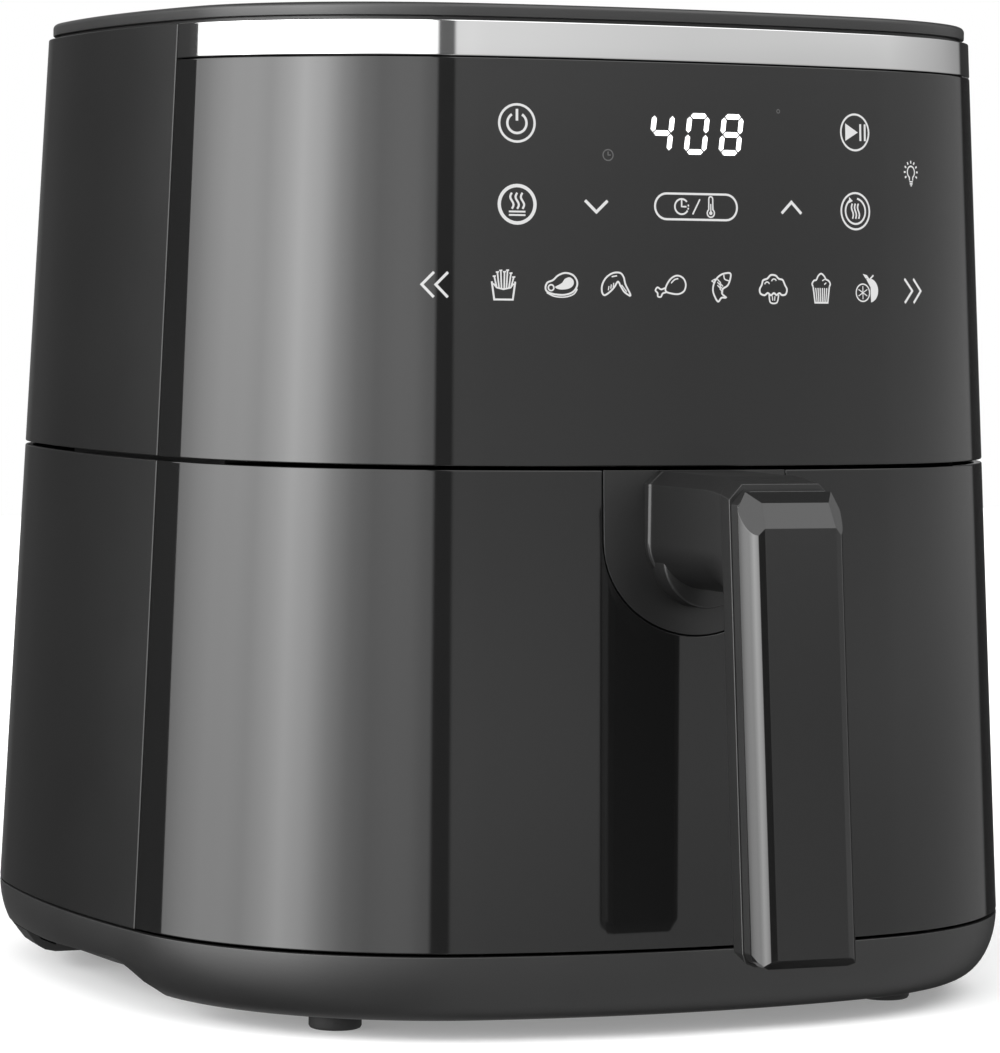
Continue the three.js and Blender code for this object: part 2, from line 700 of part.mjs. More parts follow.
/** The frame behind the skin, with a deck round the pan's rim and a floor below it. */
function drawerFrame() {
  const [bottom, top] = [31, 177.5];
  const shell = bodyWall(bottom, top, FRAME_INSET).intersect(ahead(FRAME_BACK_Y));
  const slab = (z0, z1) => loft(BODY, [
    [z0, outer(z0) - FRAME_INSET - 1],
    [z1, outer(z1) - FRAME_INSET - 1],
  ]).intersect(ahead(DECK_BACK_Y));
  const deck = cut(slab(top - 2.3, top), loft(PAN, [[top - 9, 0.8], [top + 9, 0.8]]));
  return cut(join(shell, deck, slab(bottom, bottom + 2.4)), ...screwShafts(PILOT, -160, -140));
}

function handleMount() {
  const plate = bodyWall(100, MID_SEAM - SEAM, 0, FRAME_INSET - GAP);
  return cut(plate.intersect(prismY(mountOutline(), -FAR, -100)), ...screwShafts(PILOT, -160, -140));
}

/** A point on the grip: x, depth behind the front flat, and height. */
const onGrip = (x, depth, z) => [x, GRIP_FRONT_Y + GRIP_LEAN * z + depth, z];

/** The same points on both sides of the grip. */
const bothSides = (points) => points.flatMap(([x, d, z]) => [onGrip(x, d, z), onGrip(-x, d, z)]);

/** The back shell of the grip: a band behind the cover, and a ledge that stands proud of it. */
function gripShell() {
  const joint = GRIP_SEAM + GAP;
  const band = hull(bothSides([
    [17.1, joint, 171.6], [12.9, joint, 175.9], [17.1, joint, 36.4], [16.2, joint, 34],
    [13.2, joint, 32.9],
    [17.3, GRIP_LEDGE + 1, 171.8], [13, GRIP_LEDGE + 1, 176.2], [17.3, GRIP_LEDGE + 1, 36.4],
    [16.4, GRIP_LEDGE + 1, 34], [13.3, GRIP_LEDGE + 1, 32.9],
  ]));
  const back = hull(bothSides([
    [17.8, GRIP_LEDGE, 173.2], [13.2, GRIP_LEDGE, 177.9], [17.8, GRIP_LEDGE, 36],
    [17, GRIP_LEDGE, 33.2], [13.8, GRIP_LEDGE, 31.8],
    [17.6, 18.5, 174.5], [13.2, GRIP_BACK, 178.9], [17.6, 18.5, 36], [16.2, 20.8, 36],
    [16.2, 20.8, 172], [14, GRIP_BACK, 35], [13, 20, 32],
  ]));
  const hollow = hull(bothSides([
    [13, 4, 42], [13, 4, 140], [14.5, 17, 42], [14.5, 17, 140], [12, 19.5, 42], [12, 19.5, 140],
  ]));
  return cut(join(band, back), hollow);
}

/** The stem: level on top, round underneath, and filleted into the back of the grip. */
function handleStem() {
  const side = outlineOf([[-150, STEM_TOP], [-195, STEM_TOP], [-204, 179], [-211, 177.9],
    [-212, 142], [-150, 142]]);
  const front = new THREE.Shape();
  front.moveTo(-13.2, STEM_TOP);
  front.lineTo(-STEM_HALF_WIDTH, 175.4);
  front.absellipse(0, 157, STEM_HALF_WIDTH, 14.5, Math.PI, 2 * Math.PI);
  front.lineTo(STEM_HALF_WIDTH, 175.4);
  front.lineTo(13.2, STEM_TOP);
  const fillet = outlineOf([[-211, 130], [-206.6, 131], [-205, 135.6], [-202, 139.8], [-197.5, 143],
    [-192, 145], [-192, 150], [-211, 150]]);
  return join(
    prismX(side, -20, 20).intersect(prismY(front, -220, -140)),
    prismX(fillet, -14, 14),
    stemCollar(),
  );
}

/** The lip under the root of the stem. */
function stemCollar() {
  const lip = new THREE.Shape();
  lip.moveTo(16, 156);
  lip.lineTo(-16, 156);
  lip.absarc(0, 152.5, 16, Math.PI, 2 * Math.PI);
  return prismY(lip, -164.6, -140);
}

function handleBody() {
  return cut(join(gripShell(), handleStem()), bodyVolume(GAP), ...screwShafts(PILOT, -174, -140));
}

/** The glossy cover: a flat front, bevelled sides and foot, and a faceted head. */
function handleCover() {
  const cover = hull(bothSides([
    [12.3, 0, 164.9], [12.3, 0, GRIP_FLAT_BOTTOM + 0.4], [11.6, 0, GRIP_FLAT_BOTTOM],
    [14.3, 1.3, 165.7], [14.3, 1.3, 36.2], [13.4, 1.3, 34.6],
    [11.4, 3, 172.5], [13.8, GRIP_SEAM, 176], [16.9, 5.5, 170.6],
    [17.3, GRIP_SEAM, 171.3], [17.3, GRIP_SEAM, 36.8], [16.6, GRIP_SEAM, 34.2],
    [13.6, GRIP_SEAM, 32.3], [16.9, 5.5, 37],
  ]));
  const hollow = hull(bothSides([
    [11, 2.5, 41], [11, 2.5, 160], [14, GRIP_SEAM + 2, 41], [14, GRIP_SEAM + 2, 160],
  ]));
  return cut(cover, hollow);
}

/** The box section that ties the pan to the drawer's front. */
function handleBracket() {
  return cut(
    box([-28, -146.7, 132], [28, -126.5, 171]),
    box([-26.5, -145.2, 100], [26.5, -128, 200]),
    ...screwShafts(PILOT, -160, -120),
  );
}

function handleScrew(z) {
  return join(rod(4.2, -123, -121, [0, z], 12), rod(2, -172, -122.5, [0, z], 12));
}

function fryPan() {
  const shell = cut(
    loft(PAN, [[PAN_BOTTOM, -PAN_DRAFT - 2], [PAN_BOTTOM + 2, -PAN_DRAFT], [PAN_TOP, 0]]),
    loft(PAN, [
      [PAN_BOTTOM + SHEET, -PAN_DRAFT - 2 - SHEET],
      [PAN_BOTTOM + 3, -PAN_DRAFT - SHEET],
      [PAN_TOP + 1, -SHEET],
    ]),
  );
  const rim = ring(PAN, [
    [-0.6, PAN_TOP - SHEET],
    [3.5, PAN_TOP - SHEET],
    [3.5, PAN_TOP],
    [-0.6, PAN_TOP],
  ]);
  return cut(join(shell, rim), ...screwShafts(PILOT, -130, -120));
}

/** The perforated plate that the food lies on. */
function crisperPlate() {
  const plate = loft(PAN, [[PLATE_Z, -PLATE_INSET], [PLATE_Z + 2.5, -PLATE_INSET]]);
  const slot = (x, y) => box([x - 11, y - 2.5, PLATE_Z - 5], [x + 11, y + 2.5, PLATE_Z + 9]);
  const rows = [-75, -45, -15, 15, 45, 75];
  const columns = [-60, -20, 20, 60];
  const slots = rows.flatMap((y) => columns.map((x) => slot(x, y)));
  return cut(plate, ...slots, post(10, 0, FAR, [0, 0], 16));
}

/** The silicone shoe on the middle of one edge of the plate, turned by quarter turns. */
function plateBumper(quarter) {
  const reach = PAN_HALF - PLATE_INSET;
  const shoe = cut(
    box([reach - 4.5, -8, PAN_BOTTOM + SHEET + GAP], [reach + 0.8, 8, 56]),
    box([0, -FAR, PLATE_Z - GAP], [reach + GAP, FAR, PLATE_Z + 2.5 + GAP]),
  );
  return shoe.rotate([0, 0, 90 * quarter]);
}

// ---------------------------------------------------------------- assembly

const fryer = new THREE.Group();
fryer.position.y = (-REAR_REACH - GRIP_FRONT_Y - GRIP_LEAN * GRIP_FLAT_BOTTOM) / 2;

/** Adds one piece, as its own named mesh. */
function add(name, piece, material, [x, y, z] = [0, 0, 0]) {
  const { numProp, vertProperties, triVerts } = piece.getMesh();
  const geometry = new THREE.BufferGeometry();
  geometry.setAttribute('position', new THREE.BufferAttribute(vertProperties, numProp));
  geometry.setIndex(new THREE.BufferAttribute(triVerts, 1));
  geometry.computeVertexNormals();
  const mesh = new THREE.Mesh(geometry, material);
  mesh.name = name;
  mesh.position.set(x, y, z);
  fryer.add(mesh);
}

add('bottom_pan', bottomPan(), deepBlack);
add('base_skirt', baseSkirt(), matteBlack);
for (const [end, sy] of [['front', -1], ['rear', 1]]) {
  for (const [side, sx] of [['left', -1], ['right', 1]]) {
    add(`foot_${end}_${side}`, foot(), rubber, [sx * FOOT_X, sy * FOOT_Y, 0]);
  }
}
for (const { place, at } of BASE_SCREWS) {
  add(`base_screw_${place}`, baseScrew(), steel, [...at, 0]);
}

add('lower_side_shell', lowerSideShell(), matteBlack);
add('upper_side_shell', upperSideShell(), matteBlack);
add('touch_panel', touchPanel(), glossBlack);
add('chrome_trim', chromeTrim(), chrome);
add('top_cover', topCover(), matteBlack);
add('rear_vent_cover', rearVentCover(), matteBlack);
add('cord_gland', cordGland(), rubber);

add('drawer_bay', drawerBay(), deepBlack);
add('divider_plate', dividerPlate(), deepBlack);
add('heat_chamber', heatChamber(), aluminium);
add('heating_element', heatingElement(), coilSteel);
add('element_guard', elementGuard(), steel);
add('circulation_fan', circulationFan(), steel);
add('cooling_fan', coolingFan(), deepBlack);
add('motor_shaft', motorShaft(), steel);
add('heat_shield', heatShield(), steel);
add('motor_bracket', motorBracket(), steel);
add('fan_motor', fanMotor(), aluminium);
add('exhaust_duct', exhaustDuct(), steel);

add('power_board', powerBoard(), boardGreen);
add('transformer', transformer(), deepBlack);
add('heater_relay', heaterRelay(), deepBlack);
add('smoothing_capacitor', smoothingCapacitor(), aluminium);
add('control_board', controlBoard(), boardGreen);
add('display_module', displayModule(), deepBlack);
add('board_carrier', boardCarrier(), deepBlack);
add('lamp_holder', lampHolder(), steel);
add('lamp_bulb', lampBulb(), clearGlass);
add('lamp_lens', lampLens(), clearGlass);
add('temperature_sensor', temperatureSensor(), steel);
add('thermal_cutout', thermalCutout(), deepBlack);
add('drawer_switch', drawerSwitch(), deepBlack);

add('drawer_front', drawerFront(), glossBlack);
add('drawer_frame', drawerFrame(), deepBlack);
add('handle_mount', handleMount(), matteBlack);
add('handle_body', handleBody(), matteBlack);
add('handle_cover', handleCover(), glossBlack);
add('handle_bracket', handleBracket(), steel);
for (const [name, z] of Object.entries(SCREW_HEIGHTS)) {
  add(`handle_screw_${name}`, handleScrew(z), steel);
}
add('fry_pan', fryPan(), nonStick);
add('crisper_plate', crisperPlate(), nonStick);
['right', 'rear', 'left', 'front'].forEach((side, quarter) => {
  add(`plate_bumper_${side}`, plateBumper(quarter), silicone);
});

export default fryer;
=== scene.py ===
"""The air fryer's looks: a rounded-square body with a gloss front, a drawer with a hanging grip,
and printed touch symbols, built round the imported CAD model.

Lengths are millimetres about the body's own centre line until at() turns them into metres in the
frame. Plan angles are degrees anticlockwise from +X seen from above, so the drawer faces 270.
"""

import math

import bmesh
import bpy
from mathutils import Matrix, Vector


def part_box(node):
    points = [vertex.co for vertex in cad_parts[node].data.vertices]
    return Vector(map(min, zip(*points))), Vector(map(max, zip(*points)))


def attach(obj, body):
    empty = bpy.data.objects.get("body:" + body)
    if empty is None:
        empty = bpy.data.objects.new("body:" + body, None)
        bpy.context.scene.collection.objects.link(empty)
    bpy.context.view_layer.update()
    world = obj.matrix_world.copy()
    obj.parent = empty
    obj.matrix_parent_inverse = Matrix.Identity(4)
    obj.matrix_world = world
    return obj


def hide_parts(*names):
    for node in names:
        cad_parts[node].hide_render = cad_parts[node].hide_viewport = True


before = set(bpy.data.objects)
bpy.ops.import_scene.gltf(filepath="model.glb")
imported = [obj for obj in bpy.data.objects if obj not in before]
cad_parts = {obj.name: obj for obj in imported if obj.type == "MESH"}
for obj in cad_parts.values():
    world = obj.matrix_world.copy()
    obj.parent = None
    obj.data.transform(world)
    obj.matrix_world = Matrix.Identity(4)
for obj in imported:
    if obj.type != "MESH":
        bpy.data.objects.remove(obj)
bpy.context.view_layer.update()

MM = 0.001
CENTRE_Y = (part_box("motor_shaft")[0].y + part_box("motor_shaft")[1].y) / 2

# ---------------------------------------------------------------- dimensions

HALF_WIDTH = 150.1
HALF_DEPTH = 154.6
FRONT_RADIUS = 347.5
SIDE_RADIUS = 500.0
CORNER_RADIUS = 95.9
TAPER = 0.05

BASE_BOTTOM = 6.4
BASE_SEAM = 28.7
MID_SEAM = 180.3
CHROME_BOTTOM = 308.4
CHROME_TOP = 319.6
RIM_BOTTOM = 320.8
TOP = 325.0

SEAM = 0.6               # half of the dark line between the body's halves
HAIR = 0.35              # half of a fine joint
SHELL_GAP = 0.1          # between the base's seam and the side shells
DRAWER_GAP = 0.5         # between the base's seam and the drawer's front
WALL = 2.5
FRONT_SEAM_Y = -63.85    # the seam between the front and the side shells, at the ground
FRONT_SEAM_LEAN = 0.0188  # how far that seam leans back for each unit of height
COLUMN_STEP = 1.2        # degrees of plan between two columns of a wall

OUTLET_HALF = 46         # the hole in the back of the body for the used air
OUTLET_LOW = 190
OUTLET_HIGH = 216

BOWL_DEPTH = 14.0
FOOT_AT = {"front": -101.7, "rear": 101.7}
FOOT_X = 99.5

MOUNT_HALF = 32.0        # the U-shaped plate round the root of the handle
MOUNT_CENTRE_Z = 157.0
MOUNT_DROP = 29.3
MOUNT_DEPTH = 3.9

GRIP_FRONT_Y = -241.7
GRIP_LEAN = 0.0997
STEM_TOP = 179.6
STEM_HALF = 17.5

PAN_HALF = 126.0
PAN_CORNER = 85.0


def at(x, y, z):
    """A point in the frame, in metres, from millimetres about the body's centre line."""
    return (x * MM, y * MM + CENTRE_Y, z * MM)


def outer(z):
    """How far the body's wall stands outside its plan at a height."""
    return TAPER * (MID_SEAM - z)


# ---------------------------------------------------------------- plan of the body


def corner_centre():
    """Where a corner arc's centre lies, so that it touches the front arc and the side arc."""
    front_y, side_x = HALF_DEPTH - FRONT_RADIUS, HALF_WIDTH - SIDE_RADIUS
    to_front, to_side = FRONT_RADIUS - CORNER_RADIUS, SIDE_RADIUS - CORNER_RADIUS
    span = math.hypot(side_x, front_y)
    along = (to_front**2 - to_side**2 + span**2) / (2 * span)
    across = math.sqrt(to_front**2 - along**2)
    return (
        (along * side_x - across * front_y) / span,
        front_y - (along * front_y + across * side_x) / span,
    )


CORNER_X, CORNER_Y = corner_centre()
SIDE_END = math.degrees(math.atan2(CORNER_Y, CORNER_X - (HALF_WIDTH - SIDE_RADIUS)))
FRONT_START = math.degrees(math.atan2(CORNER_Y - (HALF_DEPTH - FRONT_RADIUS), CORNER_X))


def plan(angle, offset=0.0):
    """The point of the plan whose outward normal has this angle, moved out by an offset."""
    turn = math.radians(angle)
    right, back = math.cos(turn), math.sin(turn)
    folded = math.degrees(math.atan2(abs(back), abs(right)))
    if folded <= SIDE_END:
        centre, radius = (HALF_WIDTH - SIDE_RADIUS, 0.0), SIDE_RADIUS
    elif folded >= FRONT_START:
        centre, radius = (0.0, HALF_DEPTH - FRONT_RADIUS), FRONT_RADIUS
    else:
        centre, radius = (CORNER_X, CORNER_Y), CORNER_RADIUS
    reach = radius + offset
    return (
        math.copysign(centre[0], right) * (1 if centre[0] >= 0 else -1) + reach * right,
        math.copysign(centre[1], back) * (1 if centre[1] >= 0 else -1) + reach * back,
    )


def front_point(x, z, proud=0.0):
    """The point of the front face at an x and a height."""
    reach = FRONT_RADIUS + outer(z) + proud
    return (x, -(HALF_DEPTH - FRONT_RADIUS) - math.sqrt(reach**2 - x**2), z)


def front_angle(x, z):
    return 270 + math.degrees(math.asin(x / (FRONT_RADIUS + outer(z))))


def seam_angle(z, shift):
    """How far in front of the +X direction the wall meets the seam, in degrees."""
    y = FRONT_SEAM_Y + FRONT_SEAM_LEAN * z + shift
    return math.degrees(math.asin(-y / (SIDE_RADIUS + outer(z))))


def front_span(z):
    end = seam_angle(z, -HAIR)
    return 180 + end, 360 - end


def side_span(z):
    end = seam_angle(z, HAIR)
    return -end, 180 + end


# ---------------------------------------------------------------- shapes as (points, faces)


def grid(rows, closed=False, keep=None):
    """Quads between rows of points; a closed grid joins each row's end to its start."""
    width = len(rows[0])
    points = [point for row in rows for point in row]
    faces = []
    for j in range(len(rows) - 1):
        for i in range(width if closed else width - 1):
            k = (i + 1) % width
            face = (j * width + i, j * width + k, (j + 1) * width + k, (j + 1) * width + i)
            if keep is None or keep([points[n] for n in face]):
                faces.append(face)
    return points, faces


def loft(loops):
    """A solid through closed loops of points, capped at both ends."""
    points, faces = grid(loops, closed=True)
    width = len(loops[0])
    faces.append(tuple(reversed(range(width))))
    faces.append(tuple(range(len(points) - width, len(points))))
    return points, faces


def merged(*shapes):
    """Several shapes as one."""
    points, faces = [], []
    for more_points, more_faces in shapes:
        start = len(points)
        points += more_points
        faces += [tuple(start + n for n in face) for face in more_faces]
    return points, faces


def wall(span, levels, keep=None):
    """A sheet of the body's wall: span gives its end angles at a height."""
    first, last = span(levels[0])
    count = math.ceil((last - first) / COLUMN_STEP)
    rows = []
    for z in levels:
        first, last = span(z)
        angles = [first + (last - first) * i / count for i in range(count + 1)]
        rows.append([(*plan(angle, outer(z)), z) for angle in angles])
    return grid(rows, keep=keep)


def swept(section, sides=300):
    """A solid whose [offset, z] section runs from one flat cap to the other, round the body."""
    return loft([
        [(*plan(360 * i / sides, offset), z) for i in range(sides)] for offset, z in section
    ])


def turned(section, centre=(0, 0), sides=48):
    """A solid turned about an upright axis from [radius, z] points."""
    angles = [2 * math.pi * i / sides for i in range(sides)]
    return loft([
        [(centre[0] + r * math.cos(a), centre[1] + r * math.sin(a), z) for a in angles]
        for r, z in section
    ])


def square_loop(half, radius, offset, z, steps=16):
    """A rounded square about the centre line."""
    loop = []
    for quarter, (sx, sy) in enumerate([(1, 1), (-1, 1), (-1, -1), (1, -1)]):
        for i in range(steps + 1):
            turn = math.radians(90 * (quarter + i / steps))
            reach = radius + offset
            loop.append((
                sx * (half - radius) + reach * math.cos(turn),
                sy * (half - radius) + reach * math.sin(turn),
                z,
            ))
    return loop


# ---------------------------------------------------------------- pieces


def piece(name, shape, look, body="housing", stands_for=()):
    """Adds one piece of the object, with merged points and its faces turned outward."""
    mesh = bpy.data.meshes.new(name)
    points, faces = shape
    mesh.from_pydata([at(*point) for point in points], [], faces)
    mesh.validate()
    working = bmesh.new()
    working.from_mesh(mesh)
    bmesh.ops.remove_doubles(working, verts=working.verts[:], dist=1e-6)
    if all(len(edge.link_faces) == 2 for edge in working.edges):
        bmesh.ops.recalc_face_normals(working, faces=working.faces[:])
    working.to_mesh(mesh)
    working.free()
    mesh.shade_smooth()
    thing = bpy.data.objects.new(name, mesh)
    bpy.context.scene.collection.objects.link(thing)
    mesh.materials.append(look)
    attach(thing, body)
    if stands_for:
        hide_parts(*stands_for)
    return thing


def thicken(thing, depth):
    """Gives a sheet its thickness, on its inner side."""
    modifier = thing.modifiers.new("thickness", "SOLIDIFY")
    modifier.thickness = depth * MM
    modifier.offset = -1
    modifier.use_even_offset = True


def soften(thing, radius, angle=30, segments=3):
    """Rounds the edges that turn by more than an angle, and keeps large faces true."""
    rounding = thing.modifiers.new("rounded edges", "BEVEL")
    rounding.width = radius * MM
    rounding.segments = segments
    rounding.limit_method = "ANGLE"
    rounding.angle_limit = math.radians(angle)
    normals = thing.modifiers.new("face normals", "WEIGHTED_NORMAL")
    normals.weight = 80
    return thing


# ---------------------------------------------------------------- materials


def surface(name, colour, roughness, *, metallic=0.0, ior=1.5, grain=0.6, grain_depth=0.02,
            stretch=(1, 1, 1), drift=0.15, smudge=0.1):
    """A procedural surface. Grain is its bump's size and depth in millimetres, drift how much
    its colour wanders, and smudge how much its roughness does."""
    look = bpy.data.materials.new(name)
    look.use_nodes = True
    nodes, link = look.node_tree.nodes, look.node_tree.links.new
    shader = nodes["Principled BSDF"]
    shader.inputs["Metallic"].default_value = metallic
    shader.inputs["IOR"].default_value = ior
    place = nodes.new("ShaderNodeTexCoord")
    scaled = nodes.new("ShaderNodeMapping")
    scaled.inputs["Scale"].default_value = stretch
    link(place.outputs["Object"], scaled.inputs["Vector"])

    fine = nodes.new("ShaderNodeTexNoise")
    fine.inputs["Scale"].default_value = 1 / (grain * MM)
    fine.inputs["Detail"].default_value = 3
    link(scaled.outputs["Vector"], fine.inputs["Vector"])
    bump = nodes.new("ShaderNodeBump")
    bump.inputs["Distance"].default_value = grain_depth * MM
    link(fine.outputs["Fac"], bump.inputs["Height"])
    link(bump.outputs["Normal"], shader.inputs["Normal"])

    broad = nodes.new("ShaderNodeTexNoise")
    broad.inputs["Scale"].default_value = 22
    broad.inputs["Detail"].default_value = 5
    link(scaled.outputs["Vector"], broad.inputs["Vector"])
    rough = nodes.new("ShaderNodeMapRange")
    rough.inputs["To Min"].default_value = roughness * (1 - smudge)
    rough.inputs["To Max"].default_value = roughness * (1 + smudge)
    link(broad.outputs["Fac"], rough.inputs["Value"])
    link(rough.outputs["Result"], shader.inputs["Roughness"])

    tint = nodes.new("ShaderNodeMix")
    tint.data_type = "RGBA"
    low, high = (
        tuple(channel * factor for channel in colour) + (1,) for factor in (1 - drift, 1 + drift)
    )
    tint.inputs["A"].default_value = low
    tint.inputs["B"].default_value = high
    link(broad.outputs["Fac"], tint.inputs["Factor"])
    link(tint.outputs["Result"], shader.inputs["Base Color"])
    return look


def lit(name, level):
    """A printed or glowing sign: its own white light, a little uneven like a lit window. At a low
    level it is a painted glow on a sign that is unlit.
    """
    look = bpy.data.materials.new(name)
    look.use_nodes = True
    nodes, link = look.node_tree.nodes, look.node_tree.links.new
    shader = nodes["Principled BSDF"]
    shader.inputs["Base Color"].default_value = (0.02, 0.02, 0.02, 1)
    shader.inputs["Roughness"].default_value = 0.3
    shader.inputs["Emission Strength"].default_value = level
    place = nodes.new("ShaderNodeTexCoord")
    cloud = nodes.new("ShaderNodeTexNoise")
    cloud.inputs["Scale"].default_value = 400
    link(place.outputs["Object"], cloud.inputs["Vector"])
    mix = nodes.new("ShaderNodeMix")
    mix.data_type = "RGBA"
    mix.inputs["A"].default_value = (0.94, 0.94, 0.94, 1)
    mix.inputs["B"].default_value = (1, 1, 1, 1)
    link(cloud.outputs["Fac"], mix.inputs["Factor"])
    link(mix.outputs["Result"], shader.inputs["Emission Color"])
    return look


def grey(level):
    return (level, level, level)


panel_gloss = surface("panel_gloss", grey(0.006), 0.035, ior=1.5, grain=9, grain_depth=0.0012,
                      drift=0.1, smudge=0.25)
drawer_gloss = surface("drawer_gloss", grey(0.0055), 0.045, ior=1.49, grain=9,
                       grain_depth=0.0016, drift=0.1, smudge=0.25)
grip_gloss = surface("grip_gloss", grey(0.004), 0.035, ior=1.5, grain=7, grain_depth=0.0012,
                     drift=0.1, smudge=0.2)
shell_matte = surface("shell_matte", grey(0.005), 0.34, ior=1.45, grain=0.7, grain_depth=0.02,
                      drift=0.12, smudge=0.08)
rim_matte = surface("rim_matte", grey(0.018), 0.4, grain=0.7, grain_depth=0.02)
skirt_matte = surface("skirt_matte", grey(0.012), 0.40, grain=0.7, grain_depth=0.02)
handle_matte = surface("handle_matte", grey(0.007), 0.36, grain=0.6, grain_depth=0.016)
trim_chrome = surface("trim_chrome", grey(0.62), 0.05, metallic=1, grain=14, grain_depth=0.001,
                      drift=0.02, smudge=0.3)
foot_rubber = surface("foot_rubber", grey(0.012), 0.75, grain=0.5, grain_depth=0.03)
shoe_silicone = surface("shoe_silicone", grey(0.03), 0.6, grain=0.8, grain_depth=0.02)
inside_black = surface("inside_black", grey(0.008), 0.7, grain=1.0, grain_depth=0.03)
sheet_steel = surface("sheet_steel", (0.55, 0.55, 0.56), 0.3, metallic=1, grain=0.4,
                      grain_depth=0.01, stretch=(1, 12, 1), drift=0.08, smudge=0.2)
sheet_aluminium = surface("sheet_aluminium", (0.62, 0.63, 0.64), 0.38, metallic=1, grain=1.5,
                          grain_depth=0.02, drift=0.08, smudge=0.25)
hot_steel = surface("hot_steel", (0.20, 0.175, 0.15), 0.45, metallic=0.8, grain=0.8,
                    grain_depth=0.02, drift=0.3, smudge=0.25)
pan_coating = surface("pan_coating", grey(0.018), 0.36, metallic=0.1, grain=0.35,
                      grain_depth=0.03, drift=0.4, smudge=0.2)
board_green = surface("board_green", (0.012, 0.085, 0.03), 0.42, grain=2.5, grain_depth=0.03,
                      drift=0.3)
lens_glass = surface("lens_glass", (0.8, 0.85, 0.85), 0.06, ior=1.5, grain=5, grain_depth=0.01)
lens_glass.node_tree.nodes["Principled BSDF"].inputs["Transmission Weight"].default_value = 0.9

symbol_white = lit("symbol_white", 0.72)
digit_white = lit("digit_white", 3.2)
digit_glow = lit("digit_glow", 0.3)
# The unlit degree ring and clock get a faint painted glow, standing in for the light they reflect.
unlit_sign_painted_glow = lit("unlit_sign_painted_glow", 0.07)

# ---------------------------------------------------------------- housing


def opening(corners):
    """True for the wall's faces that are clear of the outlet in the back of the body."""
    return not all(
        abs(x) < OUTLET_HALF and y > 0 and OUTLET_LOW - 1 < z < OUTLET_HIGH + 1
        for x, y, z in corners
    )


def make_walls():
    low, seam_low, seam_high = BASE_SEAM + SHELL_GAP, MID_SEAM - SEAM, MID_SEAM + SEAM
    upper_levels = (seam_high, OUTLET_LOW, OUTLET_HIGH, CHROME_TOP)
    sheets = [
        ("panel_skin", wall(front_span, (seam_high, CHROME_BOTTOM - HAIR)), panel_gloss,
         "touch_panel", "gloss_black"),
        ("chrome_band", wall(front_span, (CHROME_BOTTOM, CHROME_TOP)), trim_chrome,
         "chrome_trim", "chrome"),
        ("lower_shell_skin", wall(side_span, (low, seam_low)), shell_matte,
         "lower_side_shell", "matte_black"),
        ("upper_shell_skin", wall(side_span, upper_levels, opening), shell_matte,
         "upper_side_shell", "matte_black"),
    ]
    for name, shape, look, node, slot in sheets:
        skin = piece(name, shape, look, "housing", [node])
        thicken(skin, WALL)
        soften(skin, 0.45)


def make_lid():
    """The lid: a soft rim round a slightly sunken deck, with a lip that plugs into the shells."""
    edge = outer(TOP) - 1.2
    crown = [
        (edge - 1.6 + 1.6 * math.sin(a), TOP - 1.6 + 1.6 * math.cos(a))
        for a in (math.radians(15 * i) for i in range(7))
    ]
    section = [
        (edge - 8.4, TOP - 0.8), (edge - 8.0, TOP - 0.75), (edge - 7.6, TOP - 0.2),
        (edge - 7.2, TOP), *crown, (edge, RIM_BOTTOM + 0.3), (edge - 0.3, RIM_BOTTOM),
        (edge - 2.4, RIM_BOTTOM), (edge - 2.4, 312.0), (edge - 4.6, 312.0),
        (edge - 4.6, TOP - 2.6),
    ]
    lid = piece("lid", swept(section), rim_matte, "housing", ["top_cover"])
    soften(lid, 0.25, angle=50, segments=2)


# The lower edge of the skirt at distances in front of or behind the centre line: full depth in
# front, arched over the finger recesses, and shallow round the back.
SKIRT_EDGE = [(-66, 6.4), (-62, 9.0), (-54, 14.2), (-44, 17.2), (0, 15.4), (20, 14.6)]


def skirt_edge(y):
    if y <= SKIRT_EDGE[0][0]:
        return SKIRT_EDGE[0][1]
    for (y0, z0), (y1, z1) in zip(SKIRT_EDGE, SKIRT_EDGE[1:]):
        if y <= y1:
            return z0 + (z1 - z0) * (y - y0) / (y1 - y0)
    return SKIRT_EDGE[-1][1]


def bowl(turn):
    """Offset and height on the base's rounded lower edge: 0 at its seam, a quarter turn below."""
    depth = BASE_SEAM - BASE_BOTTOM
    return (
        outer(BASE_SEAM) - BOWL_DEPTH * (1 - math.cos(turn)),
        BASE_SEAM - depth * math.sin(turn),
    )


def make_skirt():
    steps, sides = 14, 480
    first = math.asin(0.5 / (BASE_SEAM - BASE_BOTTOM))
    columns = []
    for i in range(sides):
        angle = 360 * i / sides
        low = skirt_edge(plan(angle)[1])
        last = math.asin(min(1.0, (BASE_SEAM - low) / (BASE_SEAM - BASE_BOTTOM)))
        turns = [last + (first - last) * j / steps for j in range(steps + 1)]
        columns.append([(angle, *bowl(turn)) for turn in turns])
    rows = [
        [(*plan(angle, offset), z) for angle, offset, z in (column[j] for column in columns)]
        for j in range(steps + 1)
    ]
    skirt = piece("skirt", grid(rows, closed=True), skirt_matte, "housing", ["base_skirt"])
    thicken(skirt, 2.2)
    soften(skirt, 0.35, angle=40)


def make_feet():
    section = [
        (1.5, 0.5), (5.5, 0.5), (6.3, 0.0), (7.4, 0.0), (8.1, 0.3), (8.5, 1.0), (8.5, 4.6),
        (8.2, 5.4), (7.6, 6.1), (1.5, 6.1),
    ]
    for end, y in FOOT_AT.items():
        for side, x in (("left", -FOOT_X), ("right", FOOT_X)):
            piece(f"foot_pad_{end}_{side}", turned(section, (x, y)), foot_rubber, "housing",
                  [f"foot_{end}_{side}"])


# ---------------------------------------------------------------- drawer


